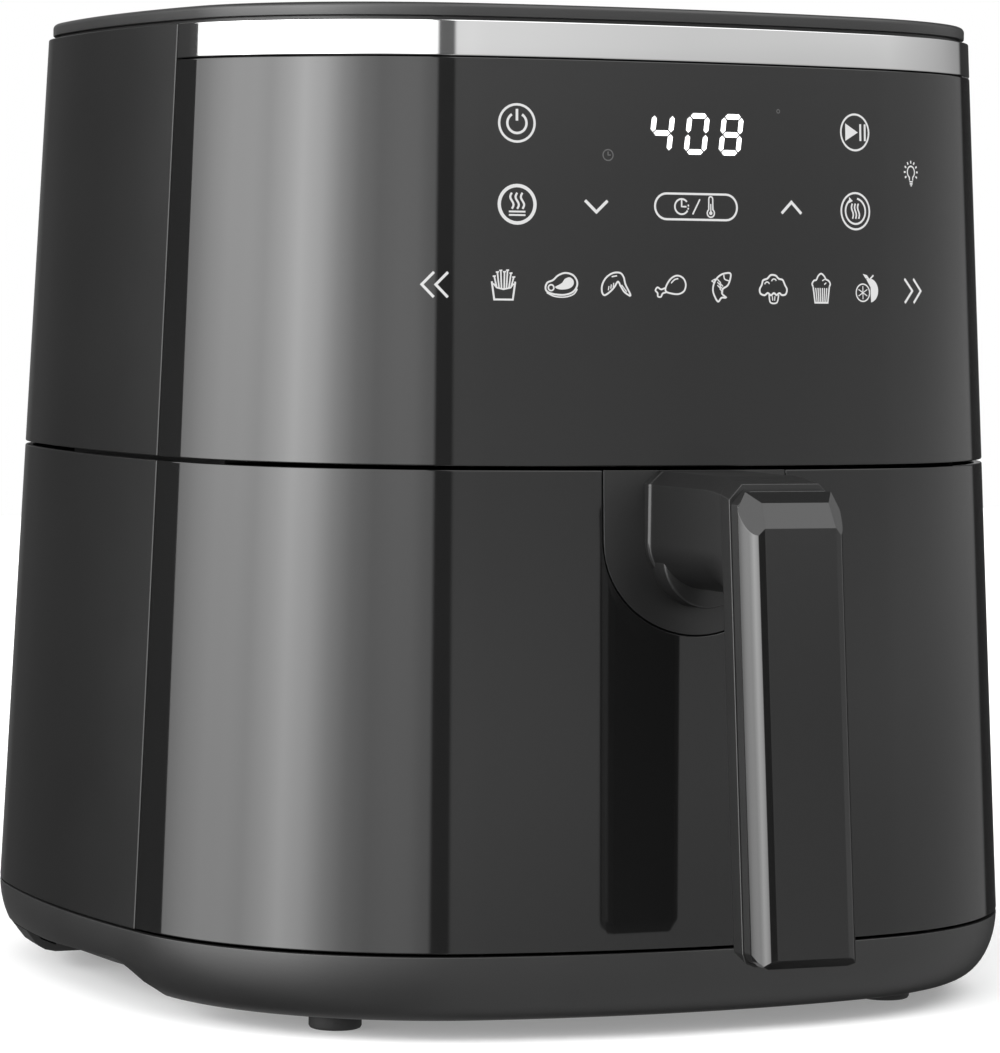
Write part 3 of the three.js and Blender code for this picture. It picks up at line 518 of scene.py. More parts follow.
def make_drawer_front():
    """The skin, cut away in a U round the handle's mounting plate."""
    low, high = BASE_SEAM + DRAWER_GAP, MID_SEAM - SEAM
    half, drop = MOUNT_HALF + HAIR, MOUNT_DROP + HAIR
    levels = (low, MOUNT_CENTRE_Z, high)
    left = wall(lambda z: (front_span(z)[0], front_angle(-half, z)), levels)
    right = wall(lambda z: (front_angle(half, z), front_span(z)[1]), levels)
    turns = [math.pi * i / 30 for i in range(31)]
    below = grid([
        [front_point(-half * math.cos(t), low) for t in turns],
        [front_point(-half * math.cos(t), MOUNT_CENTRE_Z - drop * math.sin(t)) for t in turns],
    ])
    skin = piece("drawer_skin", merged(left, below, right), drawer_gloss, "drawer",
                 ["drawer_front"])
    thicken(skin, WALL)
    soften(skin, 0.45)


def make_mount():
    turns = [math.pi * i / 30 for i in range(31)]
    high = MID_SEAM - SEAM
    plate = grid([
        [front_point(-MOUNT_HALF * math.cos(t), MOUNT_CENTRE_Z - MOUNT_DROP * math.sin(t))
         for t in turns],
        [front_point(-MOUNT_HALF * math.cos(t), high) for t in turns],
    ])
    mount = piece("mount_plate", plate, handle_matte, "drawer", ["handle_mount"])
    thicken(mount, MOUNT_DEPTH)
    soften(mount, 0.45)


def on_grip(x, depth, z):
    """A point on the leaning grip, from its depth behind the front flat."""
    return (x, GRIP_FRONT_Y + GRIP_LEAN * z + depth, z)


def hull(points):
    """The convex solid round points, with its flat faces whole."""
    working = bmesh.new()
    for point in points:
        working.verts.new(point)
    bmesh.ops.convex_hull(working, input=working.verts[:])
    return solid_of(working)


def solid_of(working):
    """The shape that a working mesh holds, with its flat faces whole."""
    bmesh.ops.dissolve_limit(
        working, angle_limit=math.radians(0.5), verts=working.verts[:], edges=working.edges[:]
    )
    working.verts.ensure_lookup_table()
    shape = (
        [tuple(vert.co) for vert in working.verts],
        [tuple(vert.index for vert in face.verts) for face in working.faces],
    )
    working.free()
    return shape


def slice_off(working, corners, inside):
    """Cuts a convex solid by the plane through three points, keeps one side and closes it."""
    a, b, c = (Vector(corner) for corner in corners)
    normal = (b - a).cross(c - a).normalized()
    if normal.dot(Vector(inside) - a) > 0:
        normal.negate()
    everything = working.verts[:] + working.edges[:] + working.faces[:]
    result = bmesh.ops.bisect_plane(
        working, geom=everything, plane_co=a, plane_no=normal, clear_outer=True
    )
    rim = [part for part in result["geom_cut"] if isinstance(part, bmesh.types.BMEdge)]
    if rim:
        bmesh.ops.edgeloop_fill(working, edges=rim)


def cover_section():
    """Half of the cover's section as [x, depth]: a flat, a fine facet and a curved bevel."""
    start, end = math.radians(41), math.radians(80)
    bevel = []
    for i in range(11):
        turn = start + (end - start) * i / 10
        bevel.append((
            14.1 + 10.6 * (math.sin(turn) - math.sin(start)),
            0.75 + 11.2 * (math.cos(start) - math.cos(turn)),
        ))
    return [(12.1, 0.0), *bevel, (17.5, 7.6)]


def make_cover():
    """The glossy cover of the grip, with a faceted head and a chamfered foot."""
    half = cover_section()
    section = half + [(-x, depth) for x, depth in reversed(half)]
    points, faces = loft([[(x, depth, z) for x, depth in section] for z in (20.0, 190.0)])
    working = bmesh.new()
    corners = [working.verts.new(point) for point in points]
    for face in faces:
        working.faces.new([corners[n] for n in face])
    inside = (0, 4, 100)
    slices = [
        ((0, 0, 164.9), (10, 0, 164.9), (0, 3, 172.5)),
        ((0, 3, 172.5), (10, 3, 172.5), (0, 8, 176)),
        ((0, 0, 35.4), (10, 0, 35.4), (0, 4, 32.3)),
        ((0, 0, 32.3), (10, 0, 32.3), (0, 8, 32.3)),
    ]
    for side in (-1, 1):
        slices.append(((side * 17.5, 8, 171.3), (side * 11.4, 3, 172.5), (side * 13.4, 1.5, 165.7)))
        for turn in (math.radians(22.5), math.radians(45), math.radians(67.5)):
            x, z = side * (12.5 + 5 * math.cos(turn)), 37.3 - 5 * math.sin(turn)
            along = (side * math.sin(turn), 0, math.cos(turn))
            slices.append(((x, 0, z), (x, 9, z), (x + along[0], 0, z + along[2])))
    for corners in slices:
        slice_off(working, corners, inside)
    points, faces = solid_of(working)
    shape = [on_grip(*point) for point in points], faces
    cover = piece("grip_cover", shape, grip_gloss, "drawer", ["handle_cover"])
    soften(cover, 0.14, angle=12, segments=3)


# Corners of the right half of the grip behind its cover, as x, depth and height: a narrow band,
# and a back whose front edge is a ledge that stands proud of it.
GRIP_BAND = [
    (17.1, 7.9, 171.6), (12.9, 7.9, 175.9), (17.1, 7.9, 36.4), (16.2, 7.9, 34), (13.2, 7.9, 32.9),
    (17.3, 13.3, 171.8), (13, 13.3, 176.2), (17.3, 13.3, 36.4), (16.4, 13.3, 34),
    (13.3, 13.3, 32.9),
]
GRIP_SHELL = [
    (17.8, 12.3, 173.2), (13.2, 12.3, 177.9), (17.8, 12.3, 36), (17, 12.3, 33.2),
    (13.8, 12.3, 31.8), (17.6, 18.5, 174.5), (13.2, 22, 178.9), (17.6, 18.5, 36),
    (16.2, 20.8, 36), (16.2, 20.8, 172), (14, 22, 35), (13, 20, 32),
]


def make_grip():
    for name, corners in (("grip_band", GRIP_BAND), ("grip_shell", GRIP_SHELL)):
        points = [on_grip(side * x, depth, z) for x, depth, z in corners for side in (-1, 1)]
        part = piece(name, hull(points), handle_matte, "drawer", ["handle_body"])
        soften(part, 0.3, angle=14)


def stem_loop(y, top, drop, flare=0.0):
    """The stem's section: level on top with chamfers, straight sides, and half an ellipse
    below."""
    edge = STEM_HALF + flare
    half = [(0.0, top), (13.2 + flare / 2, top), (edge, top - 4.2)]
    for i in range(17):
        turn = math.radians(90 * i / 16)
        half.append((edge * math.cos(turn), 157 - (14.5 + drop + flare) * math.sin(turn)))
    loop = half + [(-x, z) for x, z in reversed(half[1:-1])]
    if y is None:
        return [front_point(x, z, 0.05) for x, z in loop]
    return [(x, y, z) for x, z in loop]


def make_stem():
    """The stem, flared a little at the plate and filleted into the back of the grip."""
    stations = [(-195, 179.6, 0), (-197, 179.5, 0.6), (-199.6, 179.3, 2.0), (-202, 179.1, 4.4),
                (-204, 178.8, 7.6), (-205.6, 178.5, 11.4), (-206.8, 178.3, 15.4),
                (-209, 178.1, 17)]
    loops = [stem_loop(None, STEM_TOP, 0, 1.0)]
    loops += [stem_loop(-157.5 - lead, STEM_TOP, 0, flare)
              for lead, flare in ((0.0, 0.8), (0.35, 0.35), (0.9, 0.1), (1.8, 0.0), (20, 0.0))]
    loops += [stem_loop(y, top, drop) for y, top, drop in stations]
    stem = piece("grip_stem", loft(loops), handle_matte, "drawer", ["handle_body"])
    soften(stem, 0.5, angle=24)


def make_collar():
    """The half-round lip under the root of the stem."""
    turns = [math.pi * i / 24 for i in range(25)]
    loops = []
    for y, radius in ((-150, 16.1), (-157.6, 16.1), (-158.2, 16), (-163.8, 16), (-164.4, 15.8),
                      (-164.7, 15.3)):
        arc = [(-radius * math.cos(t), 152.5 - radius * math.sin(t)) for t in turns]
        loops.append([(x, y, z) for x, z in [*arc, (radius, 154), (-radius, 154)]])
    piece("stem_collar", loft(loops), handle_matte, "drawer", ["handle_body"])


def make_pan():
    section = [
        (-13.0, 38.0), (-10.4, 38.2), (-8.4, 38.9), (-7.2, 40.2), (-6.5, 42.5), (0.0, 171.6),
        (0.5, 172.5), (1.2, 172.8), (3.1, 172.8), (3.5, 173.1), (3.5, 173.7), (3.1, 174.0),
        (0.4, 174.0), (-0.6, 173.6), (-1.1, 172.6), (-7.6, 43.4), (-8.4, 41.2), (-9.8, 39.8),
        (-13.0, 39.2),
    ]
    loops = [square_loop(PAN_HALF, PAN_CORNER, offset, z) for offset, z in section]
    piece("pan_shell", loft(loops), pan_coating, "drawer", ["fry_pan"])


# ---------------------------------------------------------------- symbols on the panel

LIFT = 0.06              # how far the print stands off the panel
FRONT_HALF = FRONT_RADIUS * math.radians(90 - FRONT_START)


def on_panel(along, z, lift=LIFT):
    """The point of the panel that lies some way along it from its middle, to the right if more
    than nothing."""
    reach = abs(along)
    turn = math.degrees(min(reach, FRONT_HALF) / FRONT_RADIUS)
    turn += math.degrees(max(0.0, reach - FRONT_HALF) / CORNER_RADIUS)
    return (*plan(270 + math.copysign(turn, along), outer(z) + lift), z)


def resampled(line, closed):
    """The same line with more points, so that it follows the panel's curve."""
    ends = list(zip(line, line[1:] + line[:1])) if closed else list(zip(line, line[1:]))
    points = []
    for (a0, z0), (a1, z1) in ends:
        parts = max(1, math.ceil(math.hypot(a1 - a0, z1 - z0) / 1.5))
        points += [(a0 + (a1 - a0) * i / parts, z0 + (z1 - z0) * i / parts)
                   for i in range(parts)]
    return points if closed else [*points, line[-1]]


def ribbon(line, width, closed=False):
    """A flat strip of constant width along a line of (along, z) points."""
    line = resampled(line, closed)
    count = len(line)
    sides = []
    for i, (a, z) in enumerate(line):
        before = line[(i - 1) % count] if closed or i else line[0]
        after = line[(i + 1) % count] if closed or i < count - 1 else line[-1]
        run = Vector((after[0] - before[0], after[1] - before[1])).normalized()
        into = Vector((a - before[0], z - before[1]))
        spread = 1.0
        if into.length > 1e-6 and (closed or 0 < i < count - 1):
            spread = min(1.6, 1 / max(0.3, abs(run.dot(into.normalized()))))
        side = Vector((-run.y, run.x)) * width / 2 * spread
        sides.append([(a + side.x, z + side.y), (a - side.x, z - side.y)])
    rows = [[pair[1] for pair in sides], [pair[0] for pair in sides]]
    return grid(rows, closed=closed)


def filled(line):
    return list(line), [tuple(range(len(line)))]


def smooth(line, closed=False, parts=5):
    """A curve through a few points (Catmull-Rom)."""
    count = len(line)
    points = []
    for i in range(count if closed else count - 1):
        if closed:
            near = [line[(i + n) % count] for n in (-1, 0, 1, 2)]
        else:
            near = [line[min(max(i + n, 0), count - 1)] for n in (-1, 0, 1, 2)]
        for j in range(parts):
            t = j / parts
            points.append(tuple(
                0.5 * (2 * b + (c - a) * t + (2 * a - 5 * b + 4 * c - d) * t * t
                       + (3 * b - a - 3 * c + d) * t ** 3)
                for a, b, c, d in zip(*near)
            ))
    return points if closed else [*points, line[-1]]


def ring_line(radius, centre=(0, 0), start=0, end=360, squash=1.0, steps=36):
    """Points round a circle or an arc, anticlockwise from the right."""
    whole = end - start == 360
    count = steps if whole else steps + 1
    turns = [math.radians(start + (end - start) * i / steps) for i in range(count)]
    return [(centre[0] + radius * squash * math.cos(t), centre[1] + radius * math.sin(t))
            for t in turns]


def wave(x, low, high, swing=0.5):
    """An upright wavy line, as of rising heat."""
    return [(x + swing * math.sin(2 * math.pi * i / 12), low + (high - low) * i / 12)
            for i in range(13)]


def power_symbol():
    return [
        ribbon(ring_line(5.55), 0.72, True),
        ribbon(ring_line(3.0, start=122, end=418), 0.75),
        ribbon([(0, 0.7), (0, 4.2)], 0.8),
    ]


def heat_symbol():
    bars = [ribbon([(-2.5, z), (2.5, z)], 0.5) for z in (-2.1, -3.1)]
    waves = [ribbon(wave(x, -1.3, 3.3), 0.6) for x in (-1.6, 0, 1.6)]
    return [ribbon(ring_line(5.4), 1.0, True), *bars, *waves]


def play_symbol():
    return [
        ribbon(ring_line(5.55), 0.62, True),
        filled([(-3.8, -2.7), (1.2, 0), (-3.8, 2.7)]),
        *[ribbon([(x, -2.6), (x, 2.6)], 0.75) for x in (2.2, 4.0)],
    ]


def turn_symbol():
    waves = [ribbon(wave(x, -2.3, 2.3, 0.35), 0.55) for x in (-1.2, 0, 1.2)]
    return [
        ribbon(ring_line(5.55), 0.62, True),
        ribbon(ring_line(3.9, start=-240, end=80), 0.6),
        filled([(-2.4, 4.3), (-1.0, 3.1), (-2.6, 2.4)]),
        *waves,
    ]


def chevron(flip):
    return [ribbon([(-3.8, 1.8 * flip), (0, -1.8 * flip), (3.8, 1.8 * flip)], 0.95)]


def double_chevron(flip):
    return [
        ribbon([(x - 1.95 * flip, 3.9), (x + 1.95 * flip, 0), (x - 1.95 * flip, -3.9)], 0.85)
        for x in (-2.25, 2.25)
    ]


def mode_symbol():
    """A pill round a clock and a thermometer."""
    half, radius = 10.6, 4.05
    right = ring_line(radius, (half, 0), -90, 90, steps=14)
    left = ring_line(radius, (-half, 0), 90, 270, steps=14)
    bulb = [(4.4, 2.6), *ring_line(1.3, (5.1, -1.9), 125, 415, steps=14), (5.8, 2.6),
            *ring_line(0.7, (5.1, 2.6), 0, 180, steps=8)[1:-1]]
    return [
        ribbon(right + left, 0.68, True),
        ribbon(ring_line(2.4, (-5.3, 0), 40, 330, steps=26), 0.55),
        *[ribbon(ring_line(2.4, (-5.3, 0), a, a + 14, steps=3), 0.5) for a in (-22, 2)],
        ribbon([(-5.3, 2.4), (-5.3, 0), (-3.6, 0)], 0.5),
        ribbon([(-1.4, -2.4), (1.2, 2.4)], 0.5),
        ribbon(bulb, 0.45, True),
        filled(ring_line(0.6, (5.1, -1.9), steps=12)),
        ribbon([(5.1, -1.9), (5.1, 1.0)], 0.4),
    ]


def lamp_symbol():
    rays = []
    for turn in range(-30, 211, 30):
        across, up = math.cos(math.radians(turn)), math.sin(math.radians(turn))
        rays.append(ribbon([(2.8 * across, 0.8 + 2.8 * up), (3.7 * across, 0.8 + 3.7 * up)], 0.6))
    globe = ring_line(1.9, (0, 0.8), -62, 242, steps=22)
    return [
        ribbon([(0.85, -1.9), *globe, (-0.85, -1.9)], 0.5),
        ribbon([(-0.9, -2.3), (0.9, -2.3)], 0.45),
        ribbon([(-0.75, -3.0), (0.75, -3.0)], 0.5),
        ribbon([(-0.35, -3.6), (0.35, -3.6)], 0.4),
        *rays,
    ]


def fries_symbol():
    sticks = [(-3.0, 2.6), (-2.0, 3.9), (-0.9, 4.4), (0.3, 4.0), (1.3, 4.5), (2.4, 3.6),
              (3.3, 2.4)]
    lines = [ribbon([(0.72 * x, -1.2 + 0.08 * abs(x)), (x, top)], 0.5) for x, top in sticks]
    tops = [ribbon([(x - 0.5, top), (x + 0.5, top + 0.1)], 0.45) for x, top in sticks]
    carton = [(-3.8, 1.0), (-3.0, -4.6), (3.0, -4.6), (3.8, 1.0)]
    return [
        ribbon(carton, 0.6),
        ribbon([(-3.3, 0.4), (-2.2, -0.9), (0, -1.4), (2.2, -0.9), (3.3, 0.4)], 0.5),
        *lines,
        *tops,
    ]


def steak_symbol():
    outline = [(-5.0, -0.9), (-4.4, 0.7), (-2.6, 1.5), (-1.0, 2.9), (1.2, 3.7), (3.6, 3.2),
               (5.0, 1.6), (5.1, -0.2), (3.8, -2.0), (1.2, -2.9), (-2.0, -2.8), (-4.3, -2.1)]
    meat = [(-1.9, -0.6), (0.2, 0.6), (1.2, 1.9), (2.8, 2.4), (4.0, 1.4), (3.8, -0.1),
            (2.2, -1.1), (-0.4, -1.3)]
    return [
        ribbon(smooth(outline, True), 0.55, True),
        filled(smooth(meat, True)),
        ribbon(ring_line(0.9, (-3.2, -0.8), steps=14), 0.45, True),
        ribbon(smooth([(-4.6, -2.3), (-2.2, -3.4), (1.2, -3.6), (4.0, -2.7), (5.2, -1.1)]), 0.4),
    ]


def wing_symbol():
    outline = [(-4.6, -2.4), (-4.5, -0.2), (-3.2, 2.0), (-1.0, 3.4), (1.4, 3.5), (2.6, 2.2),
               (3.2, 0.0), (4.9, -3.4), (2.9, -2.4), (1.6, -0.6), (0.7, 0.8), (-0.6, -1.0),
               (-2.3, -2.6), (-3.8, -3.4)]
    nicks = [ribbon([(x, -1.9 + 0.5 * i), (x + 0.2, -0.6 + 0.5 * i)], 0.35)
             for i, x in enumerate((-2.5, -1.7, -0.9))]
    return [ribbon(smooth(outline, True), 0.55, True), *nicks,
            ribbon([(-1.4, 2.3), (0.4, 2.6)], 0.4),
            ribbon([(1.9, -0.2), (3.6, -2.3)], 0.35)]


def drumstick_symbol():
    meat = [(-1.6, -1.6), (-1.3, 0.2), (0.2, 2.2), (2.2, 3.1), (4.2, 2.4), (5.1, 0.6),
            (4.6, -1.4), (2.8, -2.4), (0.4, -2.3)]
    bone = [(-1.7, -0.6), (-3.1, -1.1), (-4.3, -0.5), (-5.0, -1.4), (-4.3, -2.2), (-4.2, -3.2),
            (-3.2, -3.3), (-2.6, -2.3), (-1.2, -1.9)]
    return [ribbon(smooth(meat, True), 0.52, True), ribbon(smooth(bone), 0.5),
            ribbon(smooth([(0.2, 0.8), (1.4, 1.9), (2.6, 2.2)]), 0.4)]


def fish_symbol():
    outline = [(3.2, 4.4), (0.6, 4.2), (-1.3, 3.1), (-2.6, 1.2), (-3.0, -0.9), (-2.4, -2.8),
               (-1.2, -4.4), (0.0, -3.2), (1.6, -3.1), (0.2, -1.9), (0.6, -0.4), (2.2, 0.6),
               (3.1, 2.4)]
    scales = [ribbon([(-1.4 + 0.8 * i, 1.6 - 1.1 * i + d), (-0.2 + 0.8 * i, 0.5 - 1.1 * i + d)],
                     0.35) for i in range(2) for d in (0.9, 0.0, -0.9)]
    return [ribbon(smooth(outline, True), 0.55, True),
            ribbon(smooth([(0.9, 3.9), (1.2, 2.6), (2.9, 2.0)]), 0.4),
            ribbon([(-2.5, 1.4), (-3.4, 2.0), (-2.0, 2.6)], 0.4), *scales]


def broccoli_symbol():
    crown = [(-4.9, -1.6), (-5.2, -0.2), (-4.4, 1.2), (-3.9, 2.6), (-2.3, 3.2), (-1.0, 4.3),
             (0.8, 4.2), (2.0, 3.2), (3.5, 2.8), (4.3, 1.3), (5.1, -0.2), (4.6, -1.7),
             (3.2, -2.0), (2.2, -1.4), (1.1, -2.0), (0.1, -1.4), (-1.0, -2.1), (-2.2, -1.4),
             (-3.4, -2.1)]
    stalk = [(-1.7, -2.0), (-1.2, -4.4), (1.2, -4.4), (1.9, -2.0)]
    curls = [ribbon(ring_line(0.9, centre, 20, 170, steps=8), 0.4)
             for centre in ((-2.4, 1.2), (0.2, 2.2))]
    return [ribbon(smooth(crown, True), 0.6, True), ribbon(smooth(stalk), 0.5), *curls,
            *[ribbon([(x, -2.4), (x * 0.7, -3.8)], 0.35) for x in (-0.5, 0.5)]]


def cupcake_symbol():
    icing = [(-3.2, 0.5), (-3.6, 1.4), (-2.9, 2.4), (-1.9, 2.7), (-1.2, 3.9), (0.0, 4.7),
             (1.2, 3.9), (1.9, 2.9), (3.0, 2.4), (3.6, 1.4), (3.2, 0.5)]
    cup = [(-3.2, 0.4), (-2.5, -4.6), (2.5, -4.6), (3.2, 0.4)]
    ridges = [ribbon([(x, 0.1), (x * 0.78, -4.3)], 0.42) for x in (-2.2, -1.3, -0.45, 0.45, 1.3,
                                                                   2.2)]
    return [ribbon(smooth(icing), 0.55), ribbon(cup, 0.55), *ridges,
            ribbon([(0.4, 2.4), (1.4, 2.9)], 0.4), ribbon([(1.2, 1.2), (2.0, 1.8)], 0.4)]


def fruit_symbol():
    spokes = []
    for turn in range(0, 360, 60):
        across, up = math.cos(math.radians(turn + 30)), math.sin(math.radians(turn + 30))
        spokes.append(ribbon([(-1.7, -1.2), (-1.7 + 2 * across, -1.2 + 2 * up)], 0.3))
    body = [*ring_line(3.7, (0.9, -0.5), -80, 110, 0.95, steps=20), (0.2, 2.2), (1.4, 0.4),
            (1.4, -2.0)]
    return [
        ribbon(ring_line(2.65, (-1.7, -1.2)), 0.42, True),
        *spokes,
        filled(body),
        filled([(-1.7, 4.6), (0.0, 4.2), (0.9, 3.1), (-0.6, 3.2)]),
        ribbon([(1.3, 3.1), (2.6, 4.2)], 0.5),
    ]


# Each printed symbol with its place along the panel, its height and its size.
SYMBOLS = [
    (power_symbol(), -60.5, 287.8, 1.045),
    (heat_symbol(), -60.4, 262.5, 1.08),
    (play_symbol(), 61.5, 287.7, 1.04),
    (turn_symbol(), 61.3, 262.4, 1.05),
    (chevron(1), -34.2, 262.3, 1.0),
    (chevron(-1), 35.7, 263.0, 1.0),
    (mode_symbol(), 0.5, 262.7, 1.0),
    (lamp_symbol(), 87.1, 274.7, 1.0),
    (double_chevron(-1), -87.0, 237.2, 1.0),
    (fries_symbol(), -64.8, 237.4, 1.0),
    (steak_symbol(), -46.0, 237.5, 1.03),
    (wing_symbol(), -27.7, 238.0, 1.02),
    (drumstick_symbol(), -8.9, 237.7, 1.05),
    (fish_symbol(), 9.2, 237.4, 1.02),
    (broccoli_symbol(), 28.5, 237.2, 1.0),
    (cupcake_symbol(), 47.0, 237.5, 1.0),
    (fruit_symbol(), 65.7, 237.5, 1.05),
    (double_chevron(1), 86.8, 237.0, 1.0),
]

# Seven-segment digits: skeleton width and height, segment thickness, and slant.
DIGIT_WIDTH = 6.3
DIGIT_HEIGHT = 11.4
SEGMENT = 1.6
SLANT = 0.13
DIGIT_PITCH = 12.45
DIGIT_AT = (0.8, 285.7)
SEGMENTS = {
    "top": ((-1, 2), (1, 2)), "middle": ((-1, 0), (1, 0)), "bottom": ((-1, -2), (1, -2)),
    "upper_left": ((-1, 0), (-1, 2)), "upper_right": ((1, 0), (1, 2)),
    "lower_left": ((-1, -2), (-1, 0)), "lower_right": ((1, -2), (1, 0)),
}
GLOW = 0.3               # how far the haze reaches round a lit segment
FOUR = ("upper_left", "middle", "upper_right", "lower_right")
NOUGHT = ("top", "bottom", "upper_left", "upper_right", "lower_left", "lower_right")
EIGHT = tuple(SEGMENTS)


def segment(name, centre):
    """One segment as a long hexagon."""
    (x0, z0), (x1, z1) = [
        Vector((x * DIGIT_WIDTH / 2, z * DIGIT_HEIGHT / 4)) for x, z in SEGMENTS[name]
    ]
    start, end = Vector((x0, z0)), Vector((x1, z1))
    run = (end - start).normalized()
    side = Vector((-run.y, run.x)) * SEGMENT / 2
    start, end = start + run * 0.42, end - run * 0.42
    inner = run * SEGMENT / 2
    corners = [start, start + inner - side, end - inner - side, end, end - inner + side,
               start + inner + side]
    return filled([(centre + c.x + SLANT * c.y, c.y) for c in corners])


def placed(shapes, along, z, size=1.0, lift=LIFT):
    points, faces = merged(*shapes)
    return [on_panel(along + size * a, z + size * b, lift) for a, b in points], faces


def glow(name, centre):
    """The haze round a lit segment, as a wider shape behind it."""
    points, faces = segment(name, centre)
    middle = Vector((sum(x for x, _ in points) / 6, sum(z for _, z in points) / 6))
    wider = []
    for x, z in points:
        out = Vector((x, z)) - middle
        wider.append(tuple(middle + out + out.normalized() * GLOW))
    return wider, faces


def lit_number(shape):
    """The lit number, with each segment drawn as the given shape."""
    return [
        shape(name, DIGIT_PITCH * (i - 1))
        for i, digit in enumerate((FOUR, NOUGHT, EIGHT))
        for name in digit
    ]


def make_symbols():
    """The print, the lit number with its haze, and a degree ring and a clock that are unlit, drawn
    with a faint painted glow.
    """
    ring = [ribbon(ring_line(0.55), 0.3, True)]
    clock = [ribbon(ring_line(1.7), 0.4, True), ribbon([(0, 1.1), (0, 0), (0.9, 0)], 0.4)]
    prints = [
        ("touch_symbols", merged(*[placed(*symbol) for symbol in SYMBOLS]), symbol_white),
        ("display_digits", placed(lit_number(segment), *DIGIT_AT), digit_white),
        ("display_glow", placed(lit_number(glow), *DIGIT_AT, lift=LIFT - 0.03), digit_glow),
        # The unlit signs carry a faint painted glow; they are no lamp.
        ("unlit_signs", merged(placed(ring, 31.0, 293.6), placed(clock, -30.2, 278.4)),
         unlit_sign_painted_glow),
    ]
    for name, shape, look in prints:
        piece(name, shape, look, "housing")


# ---------------------------------------------------------------- carried-over CAD nodes

NODE_LOOKS = {
    "deep_black": inside_black,
    "matte_black": shell_matte,
    "gloss_black": panel_gloss,
    "chrome": trim_chrome,
    "rubber": foot_rubber,
    "silicone": shoe_silicone,
    "steel": sheet_steel,
    "aluminium": sheet_aluminium,
    "element_steel": hot_steel,
    "non_stick": pan_coating,
    "board": board_green,
    "clear_glass": lens_glass,
}


def dress_nodes():
    """Gives every CAD node its procedural material, and rounds the edges of those on show."""
    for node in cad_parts.values():
        slot = node.data.materials[0].name
        node.data.materials[0] = NODE_LOOKS[slot]
        node.data.shade_smooth()
        weld = node.modifiers.new("weld", "WELD")
        weld.merge_threshold = 1e-6
        flat = node.modifiers.new("whole faces", "DECIMATE")
        flat.decimate_type = "DISSOLVE"
        flat.angle_limit = math.radians(0.5)
        soften(node, 0.25, angle=32, segments=2)


# ---------------------------------------------------------------- light, floor and camera

SKY = 12.0               # the brightest radiance that the ramps hold

# Three lights as radiance by direction. _LIGHT runs round the horizon, in degrees from the front
# towards the right side, and _BY_HEIGHT multiplies it by degrees above the horizon.
LEFT_LIGHT = [
    (-180, 0), (-160, 0.0), (-159, 2.0), (-134, 2.0), (-128, 2.7), (-120, 3.95), (-110, 5.3),
    (-99, 5.9), (-91, 5.75), (-82, 7.4), (-75, 9.1), (-66, 7.6), (-58, 4.75), (-50, 2.9),
    (-42, 2.15), (-33, 2.35), (-27, 2.3), (-22, 1.8), (-18.8, 1.6), (-18.7, 0),
]
LEFT_BY_HEIGHT = [
    (-90, 0), (-45, 0.06), (-24, 0.3), (-14, 0.5), (-2, 0.79), (1, 0.89), (4.7, 1.03),
    (7.5, 1.06), (33, 1.06), (36, 0), (90, 0),
]
RIGHT_LIGHT = [
    (-180, 0.2), (-174, 0.08), (-154, 0.04), (-140, 0.1), (-20, 0.16), (-12.3, 0.16),
    (-12.1, 0.98), (-5, 1.0), (5, 0.94), (26, 0.83), (40, 0.84), (60, 0.92), (80, 0.82),
    (90, 0.76), (100, 0.68), (110, 0.56), (119, 0.46), (121.5, 0.05), (148, 0.06), (152, 0.45),
    (180, 0.45),
]
RIGHT_BY_HEIGHT = [
    (-90, 0.7), (-3, 0.75), (-1.7, 0.83), (-0.4, 0.95), (1.1, 0.94), (2.5, 0.86), (5, 0.85),
    (6.6, 0.95), (7.8, 1.1), (30, 1.1), (36, 0.05), (90, 0.03),
]
TOP_LIGHT = [
    (-180, 0.02), (-95, 0.05), (-80, 1.0), (-20.5, 1.0), (-20, 0.04), (-12, 0.04), (-11.5, 1.0),
    (80, 1.0), (100, 0.1), (180, 0.02),
]
TOP_BY_HEIGHT = [(-90, 0), (33, 0), (36, 2.9), (74, 2.9), (78, 1.0), (90, 0.5)]
LEFT_EDGE = -132.7       # the left light's far edge at the horizon, and its lean
LEFT_EDGE_LEAN = 0.65

FLOOR_REACH = 3000
CAMERA_AT = (-0.69833, -1.51043, 0.24051)  # metres in the frame
LENS = 168.61            # millimetres, for a sensor 36 mm high
AZIMUTH, PAN, PITCH, ROLL = -0.42414, 0.00108, 0.05101, 0.01315


def ramp(tree, source, stops, low, high, scale):
    """A piecewise straight curve of a value, as a ramp between two ends."""
    node = tree.nodes.new("ShaderNodeValToRGB")
    elements = node.color_ramp.elements
    for i, (position, value) in enumerate(stops):
        where = (position - low) / (high - low)
        element = elements[i] if i < 2 else elements.new(where)
        element.position = where
        element.color = (value / scale,) * 3 + (1,)
    spread = tree.nodes.new("ShaderNodeMapRange")
    spread.inputs["From Min"].default_value = low
    spread.inputs["From Max"].default_value = high
    tree.links.new(source, spread.inputs["Value"])
    tree.links.new(spread.outputs["Result"], node.inputs["Fac"])
    return maths(tree, "MULTIPLY", node.outputs["Color"], scale)


def maths(tree, operation, *values):
    node = tree.nodes.new("ShaderNodeMath")
    node.operation = operation
    for socket, value in zip(node.inputs, values):
        if isinstance(value, (int, float)):
            socket.default_value = value
        else:
            tree.links.new(value, socket)
    return node.outputs[0]


